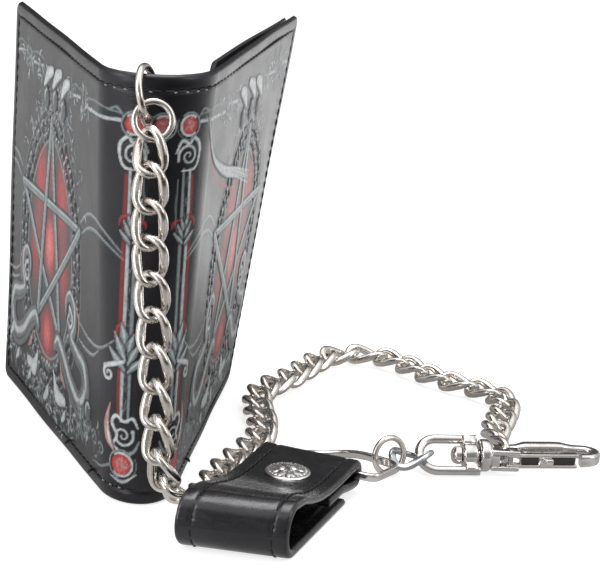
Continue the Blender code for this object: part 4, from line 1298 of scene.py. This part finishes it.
def strap_body(run, creased):
    """The strap's leather as a closed sheet with burnished edges and two sunk stitch lines."""
    line, normals, even = strap_lines(run)
    across = np.concatenate([np.linspace(0, 1.4, 8)[:-1], np.linspace(1.4, STRAP_WIDTH - 1.4, 54),
                             np.linspace(STRAP_WIDTH - 1.4, STRAP_WIDTH, 8)[1:]])
    face, back = [], []
    for (s, z), (ns, nz), at in zip(line, normals, even):
        from_side = np.minimum(across, STRAP_WIDTH - across)
        roll = edge_roll(np.minimum(from_side, even[-1] - at), STRAP_THICK * 0.9)
        valley = 0.25 * np.exp(-((from_side - STRAP_STITCH_IN) / 0.5) ** 2)
        wave = 0.14 * math.sin(at / 5.3) * np.sin(across / 4.1 + at / 11.0)
        if creased:
            wave = wave - 0.22 * np.exp(-((at - 2.6 - 0.3 * np.sin(across / 4.0)) / 0.55) ** 2)
            wave = wave + 0.10 * np.exp(-((at - 5.0 - 0.4 * np.sin(across / 5.0 + 1.0)) / 1.4) ** 2)
        half = STRAP_THICK / 2
        up = half - roll - valley + wave * 0.6
        down = -half + roll + valley * 0.6
        face.append([strap_point(s + ns * h, z + nz * h, w) for h, w in zip(up, across)])
        back.append([strap_point(s + ns * h, z + nz * h, w) for h, w in zip(down, across)])
    return closed_sheet(np.array(face), np.array(back))


def strap_stitches(run, start, end, inward=False):
    """Both rows of stitches on one face of the strap, between two distances along it."""
    line, normals, even = strap_lines(run)
    keep = (even >= start) & (even <= (end or even[-1] - 2.0))
    shapes = []
    sign = -1.0 if inward else 1.0
    for w in (STRAP_STITCH_IN, STRAP_WIDTH - STRAP_STITCH_IN):
        places, outs = [], []
        for (s, z), (ns, nz) in zip(line[keep], normals[keep]):
            h = sign * (STRAP_THICK / 2 - 0.16)
            place = strap_point(s + ns * h, z + nz * h, w)
            beyond = strap_point(s + ns * (h + sign), z + nz * (h + sign), w)
            places.append(place)
            outs.append(beyond - place)
        shapes += stitch_line(places, outs, 3.0, 2.5)
    return shapes


def build_belt_loop():
    add_piece("belt_loop_upper", *strap_body(top_run(), True), STRAP_LEATHER, "belt_loop", ("strap",),
              "strap_leather", 50)
    flap = add_piece("belt_loop_lower", *strap_body(flap_run(), False), STRAP_LEATHER,
                     slot="strap_leather", crease=50)
    threads = add_piece("belt_loop_lower_stitches", *join_shapes(strap_stitches(flap_run(), 0.2, None, True)),
                        THREAD_BLACK, slot="strap_leather")
    for piece in (flap, threads):
        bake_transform(piece)
    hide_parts("strap_flap")
    shapes = strap_stitches(top_run(), 0.2, 59.0) + strap_stitches(top_run(), 66.0, None)
    add_piece("belt_loop_upper_stitches", *join_shapes(shapes), THREAD_BLACK, "belt_loop",
              slot="strap_leather")


def build_snap():
    """The press stud: a domed cap with a raised pattern of petals, and its parts between the leathers."""
    up = (0, 0, 1)
    low, high, middle = node_box("snap_cap")
    centre = (middle[0], middle[1], 0.0)
    top = high[2] - CAP_SUNK
    radius = (high[0] - low[0]) / 2

    def petals(r, turn):
        q = r / radius
        band = math.exp(-((q - 0.62) / 0.16) ** 2)
        rim = 0.16 * math.exp(-((q - 0.93) / 0.05) ** 2)
        inner = 0.12 * math.exp(-((q - 0.28) / 0.1) ** 2) * math.cos(8 * turn)
        dots = 0.10 * math.exp(-((q - 0.82) / 0.05) ** 2) * math.cos(26 * turn)
        return 0.22 * band * abs(math.cos(4 * turn)) ** 0.6 - 0.12 * band + rim + inner + dots

    profile = [(low[2], 0.0), (low[2], 1.55), (top - 1.25, 1.6), (top - 1.22, 4.6),
               (top - 1.2, radius - 0.25), (top - 1.0, radius)]
    for i in range(1, 34):
        t = i / 33
        r = radius * (1 - t)
        profile.append((top - 0.88 + 0.75 * (1 - (r / radius) ** 2), r))
    cap = revolve(profile, centre, up, 160, petals)
    add_piece("snap_dome", *cap, SILVER, "belt_loop", ("snap_cap",), "textured_silver", 45)

    low, high, middle = node_box("snap_socket")
    r = (high[0] - low[0]) / 2
    outline = [(low[2], 2.2), (low[2], r - 0.3), (low[2] + 0.25, r), (high[2] - 0.2, r), (high[2], r - 0.3),
               (high[2], 2.35), (high[2] - 0.25, 2.1), (low[2] + 0.2, 2.1)]
    ring = turned_ring(outline, (middle[0], middle[1], 0.0), up, 48)
    add_piece("snap_ring", *ring, NICKEL, "belt_loop", ("snap_socket",), "nickel")

    low, high, middle = node_box("snap_stud")
    r = (high[0] - low[0]) / 2
    outline = [(low[2], 0.0), (low[2], r - 0.2), (low[2] + 0.2, r), (high[2] - 1.3, r - 0.1),
               (high[2] - 0.95, r - 0.25), (high[2] - 0.5, r - 0.05), (high[2] - 0.15, 0.9), (high[2], 0.0)]
    post = revolve(outline, (middle[0], middle[1], 0.0), up, 48)
    add_piece("snap_post", *post, NICKEL, "belt_loop_flap", ("snap_stud",), "nickel")


def rounded_loop(corners, radii, steps):
    """A flat closed loop through corners, each rounded to its radius."""
    loop = []
    count = len(corners)
    for i, here in enumerate(corners):
        here = np.asarray(here, float)
        before = unit(np.asarray(corners[i - 1], float) - here)
        after = unit(np.asarray(corners[(i + 1) % count], float) - here)
        half = math.acos(max(-1.0, min(1.0, before.dot(after)))) / 2
        reach = radii[i] / math.tan(half)
        middle = here + unit(before + after) * radii[i] / math.sin(half)
        start, end = here + before * reach - middle, here + after * reach - middle
        swing = math.atan2(start[0] * end[1] - start[1] * end[0], start.dot(end))
        for k in range(steps + 1):
            t = swing * k / steps
            turn = np.array([[math.cos(t), -math.sin(t)], [math.sin(t), math.cos(t)]])
            loop.append(middle + turn @ start)
    return loop


def build_d_ring():
    """The ring round whose straight bar the belt loop is folded."""
    corners = [(FOLD_AT, -1.6), (FOLD_AT, 31.6), (70.8, 34.2), (75.5, 17.0), (67.0, -1.6)]
    loop = rounded_loop(corners, [2.0, 2.6, 4.5, 9.0, 6.0], 14)
    dense = []
    for i, here in enumerate(loop):
        after = loop[(i + 1) % len(loop)]
        count = max(1, int(np.linalg.norm(after - here) / 1.2))
        dense += [here + (after - here) * k / count for k in range(count)]
    path = []
    for s, w in dense:
        sag = D_RING_SAG * float(smooth((25.0 - w) / 15.0) * smooth((s - FOLD_AT - 2.0) / 6.0))
        path.append(strap_point(s, FOLD_HEIGHT - D_RING_DIP * (s - FOLD_AT) - sag, w))
    ups = [np.array([0.0, 0.0, 1.0])] * len(path)
    add_piece("belt_loop_d_ring", *sweep(path, ups, rounded_section(0.72, 1.08, 0.5), True), BRIGHT,
              "d_ring_body", ("d_ring",), "nickel", 50)


def build_connector():
    points = node_points("connector_link")
    centre = (points.max(axis=0) + points.min(axis=0)) / 2
    along = np.array(JOINTS["connector_in_swivel_eye"]["pos_m"]) / MM - centre
    along[2] = 0.0
    shape = link_shape(centre, along, (0, 0, 1), LINK_TWIST, LINK_WIRE * 0.95, 0.14, flat=0.3)
    add_piece("flat_link", *shape, STEEL, "connector", ("connector_link",), "steel", 45)


# Snap hook ------------------------------------------------------------------------------------------

def hook_axes():
    turn = math.radians(HOOK_TURN)
    return (np.array([math.cos(turn), math.sin(turn), 0.0]), np.array([-math.sin(turn), math.cos(turn), 0.0]),
            np.array([0.0, 0.0, 1.0]))


def hook_point(a, b, c):
    """A place along, beside and above the hook's own origin."""
    along, aside, up = hook_axes()
    return np.asarray(HOOK_AT, float) + along * a + aside * b + up * c


def slab_outline(outline, low, high, bevel):
    """A flat outline of (a, b) hook places, made solid between two heights with softened rims."""
    middle = np.mean(np.array(outline), axis=0)
    points, rings = [], []
    count = len(outline)
    layers = ((low, bevel), (low + bevel * 0.35, bevel * 0.3), (low + bevel, 0.0),
              (high - bevel, 0.0), (high - bevel * 0.35, bevel * 0.3), (high, bevel))
    for level, shrink in layers:
        rings.append(len(points))
        for i, (a, b) in enumerate(outline):
            before, after = np.array(outline[i - 1]), np.array(outline[(i + 1) % count])
            tangent = unit(after - before)
            inward = np.array([-tangent[1], tangent[0]])
            if inward.dot(middle - np.array([a, b])) < 0:
                inward = -inward
            a2, b2 = np.array([a, b]) + inward * shrink
            points.append(tuple(hook_point(a2, b2, level)))
    faces = [tuple(reversed(range(count))), tuple(range(rings[-1], rings[-1] + count))]
    for near, far in zip(rings, rings[1:]):
        for i in range(count):
            nxt = (i + 1) % count
            faces.append((near + i, near + nxt, far + nxt, far + i))
    return points, faces


def round_corners(corners, radius, steps=5):
    return [tuple(p) for p in rounded_loop(corners, [radius] * len(corners), steps)]


def build_swivel_eye():
    """The bail with its two shoulders and the drum it turns round."""
    along, aside, up = hook_axes()
    roll = math.radians(EYE_ROLL)
    wide = aside * math.cos(roll) + up * math.sin(roll)
    thin = up * math.cos(roll) - aside * math.sin(roll)
    centre = np.asarray(HOOK_AT, float)
    outline = [(-2.2, -4.7), (-6.0, -4.7), (-10.0, -4.7)]
    outline += [(-13.6 - 4.7 * math.sin(t), -4.7 * math.cos(t)) for t in levels(0.0, math.pi, 24)]
    outline += [(-10.0, 4.7), (-6.0, 4.7), (-2.2, 4.7)]
    path = [centre + along * a + wide * b for a, b in outline]
    bail = sweep(path, [thin] * len(path), circle_section(1.25, 16))
    drum = [(-6.6, 1.7), (-6.6, 2.7), (-6.2, 3.2), (-5.6, 3.3), (-3.2, 3.3), (-2.7, 3.1), (-2.4, 2.6),
            (-2.4, 1.7)]
    shapes = [bail, turned_ring(drum, centre, along, 40)]
    for side in (-1, 1):
        block = [centre + along * a + wide * side * 4.0 for a in (-6.3, -5.9, -3.0, -2.6)]
        shapes.append(sweep(block, [wide * side] * 4, rounded_section(1.9, 1.3, 0.6), False,
                            [0.8, 1.0, 1.0, 0.8]))
    add_piece("swivel_bail", *join_shapes(shapes), BRIGHT, "swivel", ("swivel_eye",), "nickel", 45)


def hook_run():
    """The middle line of the hook's solid side and nose."""
    run = [(0.4, 1.6), (2.6, 2.7), (5.5, 3.2), (9.0, 3.3), (14.0, 3.4), (20.0, 3.5), (25.0, 3.3)]
    run += [(26.5 + 4.0 * math.sin(t), 3.1 * math.cos(t)) for t in [math.pi * i / 12 for i in range(1, 12)]]
    run += [(25.6, -3.2)]
    return smooth_curve(run, 4)


def build_hook():
    """The casting: solid side with its nose, collar with its pivot head, and two cheeks for the gate."""
    along, _, up = hook_axes()
    run = hook_run()
    path = [hook_point(a, b, 0.0) for a, b in run]
    section = rounded_section(1.35, 1.75, 0.9, 4)
    scales = [1.0 + BAR_SWELL * float(smooth((a - 8.6) / 3.0) * smooth((25.5 - a) / 5.0)) for a, _ in run]
    bar = sweep(path, [up] * len(path), section, False, scales)
    collar = [(-9.6, 0.0), (-9.5, 0.9), (-9.2, 1.7), (-8.6, 2.25), (-7.8, 2.5), (-7.1, 2.45), (-6.9, 2.1),
              (-6.9, 1.35), (-2.0, 1.35), (-2.0, 3.7), (-1.85, 4.1), (-1.4, 4.4), (0.2, 4.4), (0.6, 4.25),
              (1.2, 3.8), (2.0, 2.9), (3.0, 2.2), (3.0, 0.0)]
    shapes = [bar, revolve(collar, HOOK_AT, along, 48)]
    cheek = round_corners([(0.8, -4.4), (8.4, -4.9), (8.4, -1.3), (3.6, -1.1), (2.4, 0.6), (0.8, 1.4)], 0.5)
    for low, high in ((-2.9, -1.6), (1.6, 2.9)):
        shapes.append(slab_outline(cheek, low, high, 0.35))
    web = round_corners([(0.8, -4.2), (3.0, -4.4), (3.0, 0.4), (0.8, 1.2)], 0.3)
    shapes.append(slab_outline(web, -2.0, 2.0, 0.15))
    add_piece("hook_casting", *join_shapes(shapes), BRIGHT, "hook", ("snap_hook_body",), "nickel", 45)


def build_gate():
    """The gate: a folded lever with a thumb tab, and a sunk channel on its outer face, dark with painted
    shade.
    """
    lever = round_corners([(5.0, -2.1), (5.0, -4.0), (6.4, -4.5), (24.6, -4.3), (24.6, -2.2), (7.4, -1.95)],
                          0.4)
    core = round_corners([(8.8, -2.2), (8.8, -3.9), (24.2, -3.8), (24.2, -2.4)], 0.3)
    tab = round_corners([(13.2, -3.6), (15.4, -6.3), (17.3, -6.4), (17.3, -3.8)], 0.35)
    # the near-black lining strip in the channel is painted shade for its recess
    channel = round_corners([(8.9, -3.75), (8.9, -4.15), (23.9, -4.0), (23.9, -3.65)], 0.12)
    lining = slab_outline(channel, -1.2, 1.2, 0.1)
    add_piece("gate_channel", *lining, CHANNEL_SHADE_STEEL, "gate", slot="steel", crease=45)
    shapes = [slab_outline(lever, 1.1, 2.0, 0.25), slab_outline(lever, -2.0, -1.1, 0.25),
              slab_outline(core, -1.3, 1.3, 0.1), slab_outline(tab, -1.2, 1.2, 0.3)]
    add_piece("gate_lever", *join_shapes(shapes), BRIGHT, "gate", ("snap_hook_gate",), "nickel", 45)
    head = [(3.0, 0.0), (3.0, 0.6), (2.85, 0.95), (2.6, 1.0), (2.5, 0.7)]
    pin = revolve([(-d, r) for d, r in head] + head[::-1], node_box("gate_pin")[2], (0, 0, 1), 32)
    add_piece("gate_rivet", *pin, STEEL, "hook", ("gate_pin",), "steel")
    turns, steps = 3.0, 90
    path = []
    for i in range(steps + 1):
        t = 2 * math.pi * turns * i / steps
        path.append(hook_point(3.3 + 1.0 * i / steps, -1.4 + 0.45 * math.cos(t), 0.8 * math.sin(t)))
    coil = sweep(path, [hook_axes()[0]] * len(path), circle_section(0.18, 8))
    add_piece("gate_coil", *coil, STEEL, "hook", ("gate_spring",), "steel", 60)


# Stage ----------------------------------------------------------------------------------------------

def build_floor():
    """A pale floor. It looks white, lights the pieces softly, and mirrors darker towards the camera."""
    reach, level = 3.0, -0.00005
    mesh = bpy.data.meshes.new("floor")
    mesh.from_pydata([(x * reach, y * reach, level) for x, y in ((-1, -1), (1, -1), (1, 1), (-1, 1))], [],
                     [(0, 1, 2, 3)])
    floor = bpy.data.objects.new("floor", mesh)
    bpy.context.collection.objects.link(floor)
    shader = Shader("pale_floor")
    tone = shader.ramp(shader.noise(3.0, 2.0), 0.3, 0.7, 0.0, 1.0)
    shader.into("Base Color", shader.mix(tone, (0.62, 0.62, 0.62), (0.66, 0.66, 0.66)))
    shader.set(Roughness=0.9, Specular_IOR_Level=0.0)
    rays = shader.node("ShaderNodeLightPath")
    split = shader.node("ShaderNodeSeparateXYZ")
    shader.link(shader.coords, split.inputs[0])
    front = shader.ramp(split.outputs["Y"], -0.14, -0.06, FLOOR_FRONT, FLOOR_NEAR)
    back = shader.ramp(split.outputs["Y"], -0.03, 0.10, 0.0, FLOOR_BACK - FLOOR_NEAR)
    front = shader.maths("ADD", front, back)
    left = shader.ramp(split.outputs["X"], -0.10, -0.03, FLOOR_LEFT, 0.0)
    right = shader.ramp(split.outputs["X"], 0.04, 0.14, 0.0, FLOOR_RIGHT)
    far = shader.ramp(split.outputs["Y"], 0.07, 0.17, 0.0, 1.0)
    mirrored = shader.maths("ADD", front, shader.maths("ADD", left, shader.maths("MULTIPLY", right, far)))
    ripples = shader.ramp(shader.noise(26.0, 3.0), 0.35, 0.65, 0.75, 1.25)
    mirrored = shader.maths("MULTIPLY", mirrored, ripples)
    glow = shader.node("ShaderNodeEmission")
    shader.link(mirrored, glow.inputs["Strength"])
    seen = shader.node("ShaderNodeEmission")
    seen.inputs["Strength"].default_value = FLOOR_SEEN
    plain = shader.out.outputs[0]
    added = shader.join("ShaderNodeAddShader", plain, seen.outputs[0])
    by_camera = shader.join("ShaderNodeMixShader", rays.outputs["Is Camera Ray"], plain, added)
    surface = shader.join("ShaderNodeMixShader", rays.outputs["Is Glossy Ray"], by_camera, glow.outputs[0])
    shader.link(surface, shader.tree.nodes["Material Output"].inputs["Surface"])
    mesh.materials.append(shader.material)


def build_world():
    """A white studio. What the pieces mirror is darker near the horizon and brighter overhead."""
    world = bpy.data.worlds.new("studio")
    bpy.context.scene.world = world
    world.use_nodes = True
    sky = Nodes(world.node_tree)
    background = sky.tree.nodes["Background"]
    split = sky.node("ShaderNodeSeparateXYZ")
    sky.link(sky.node("ShaderNodeTexCoord").outputs["Generated"], split.inputs[0])
    overhead = sky.ramp(split.outputs["Z"], 0.52, 0.84, 0.0, SKY_TOP)
    sides = sky.ramp(sky.maths("ABSOLUTE", split.outputs["X"], 0.0), 0.35, 0.9, SKY_LOW, SKY_SIDE)
    behind = sky.ramp(split.outputs["Y"], -0.3, 0.6, SKY_NEAR, 0.0)
    mirrored = sky.maths("ADD", sky.maths("ADD", overhead, behind), sides)
    rays = sky.node("ShaderNodeLightPath").outputs
    glossy = sky.maths("MULTIPLY", mirrored, rays["Is Glossy Ray"])
    fill = sky.maths("MULTIPLY", sky.maths("SUBTRACT", 1.0, rays["Is Glossy Ray"]), SKY_FILL)
    white = sky.maths("MULTIPLY", rays["Is Camera Ray"], 1.0 - SKY_FILL)
    total = sky.maths("ADD", glossy, sky.maths("ADD", fill, white))
    sky.link(total, background.inputs["Strength"])
    background.inputs["Color"].default_value = (1.0, 1.0, 1.0, 1.0)


def add_light(name, place, target, size, power):
    light = bpy.data.lights.new(name, "AREA")
    light.shape = "RECTANGLE"
    light.size, light.size_y = size
    light.energy = power
    made = bpy.data.objects.new(name, light)
    bpy.context.collection.objects.link(made)
    made.location = place
    made.rotation_mode = "QUATERNION"
    made.rotation_quaternion = (Vector(target) - Vector(place)).to_track_quat("-Z", "Y")


def build_camera():
    ahead, aside = math.cos(CAMERA_YAW), math.sin(CAMERA_YAW)
    flat = math.cos(CAMERA_PITCH)
    forward = np.array([aside * flat, ahead * flat, -math.sin(CAMERA_PITCH)])
    level = np.array([ahead, -aside, 0.0])
    upright = np.cross(level, forward)
    right = level * math.cos(CAMERA_ROLL) + upright * math.sin(CAMERA_ROLL)
    up = -level * math.sin(CAMERA_ROLL) + upright * math.cos(CAMERA_ROLL)
    place = Matrix([[right[k], up[k], -forward[k], p] for k, p in enumerate(CAMERA_AT)] + [[0, 0, 0, 1]])
    data = bpy.data.cameras.new("camera")
    data.lens = CAMERA_LENS
    data.sensor_width = 36.0
    data.clip_start, data.clip_end = 0.01, 20.0
    camera = bpy.data.objects.new("camera", data)
    bpy.context.collection.objects.link(camera)
    camera.matrix_world = place
    bpy.context.scene.camera = camera


def build_stage():
    build_floor()
    build_world()
    add_light("top_softbox", (0.05, 0.10, 0.75), (0.03, 0.03, 0.0), (0.40, 0.40), 2.6)
    add_light("left_softbox", (-0.70, -0.25, 0.42), (0.0, 0.03, 0.05), (0.30, 0.60), 2.4)
    add_light("low_strip", (-0.62, -0.52, 0.085), (0.01, -0.02, 0.01), (0.35, 0.09), 0.75)
    add_light("right_softbox", (0.70, -0.35, 0.45), (0.03, 0.03, 0.03), (0.16, 0.60), 1.1)
    build_camera()
    bpy.context.scene.view_settings.view_transform = "Standard"


def build():
    for side in ("left", "right"):
        build_outer(side)
        build_stitches(side)
        build_lining(side)
    build_knots()
    build_rings()
    build_chain()
    build_belt_loop()
    build_snap()
    build_d_ring()
    build_connector()
    build_swivel_eye()
    build_hook()
    build_gate()
    build_stage()


build()
bpy.context.view_layer.update()
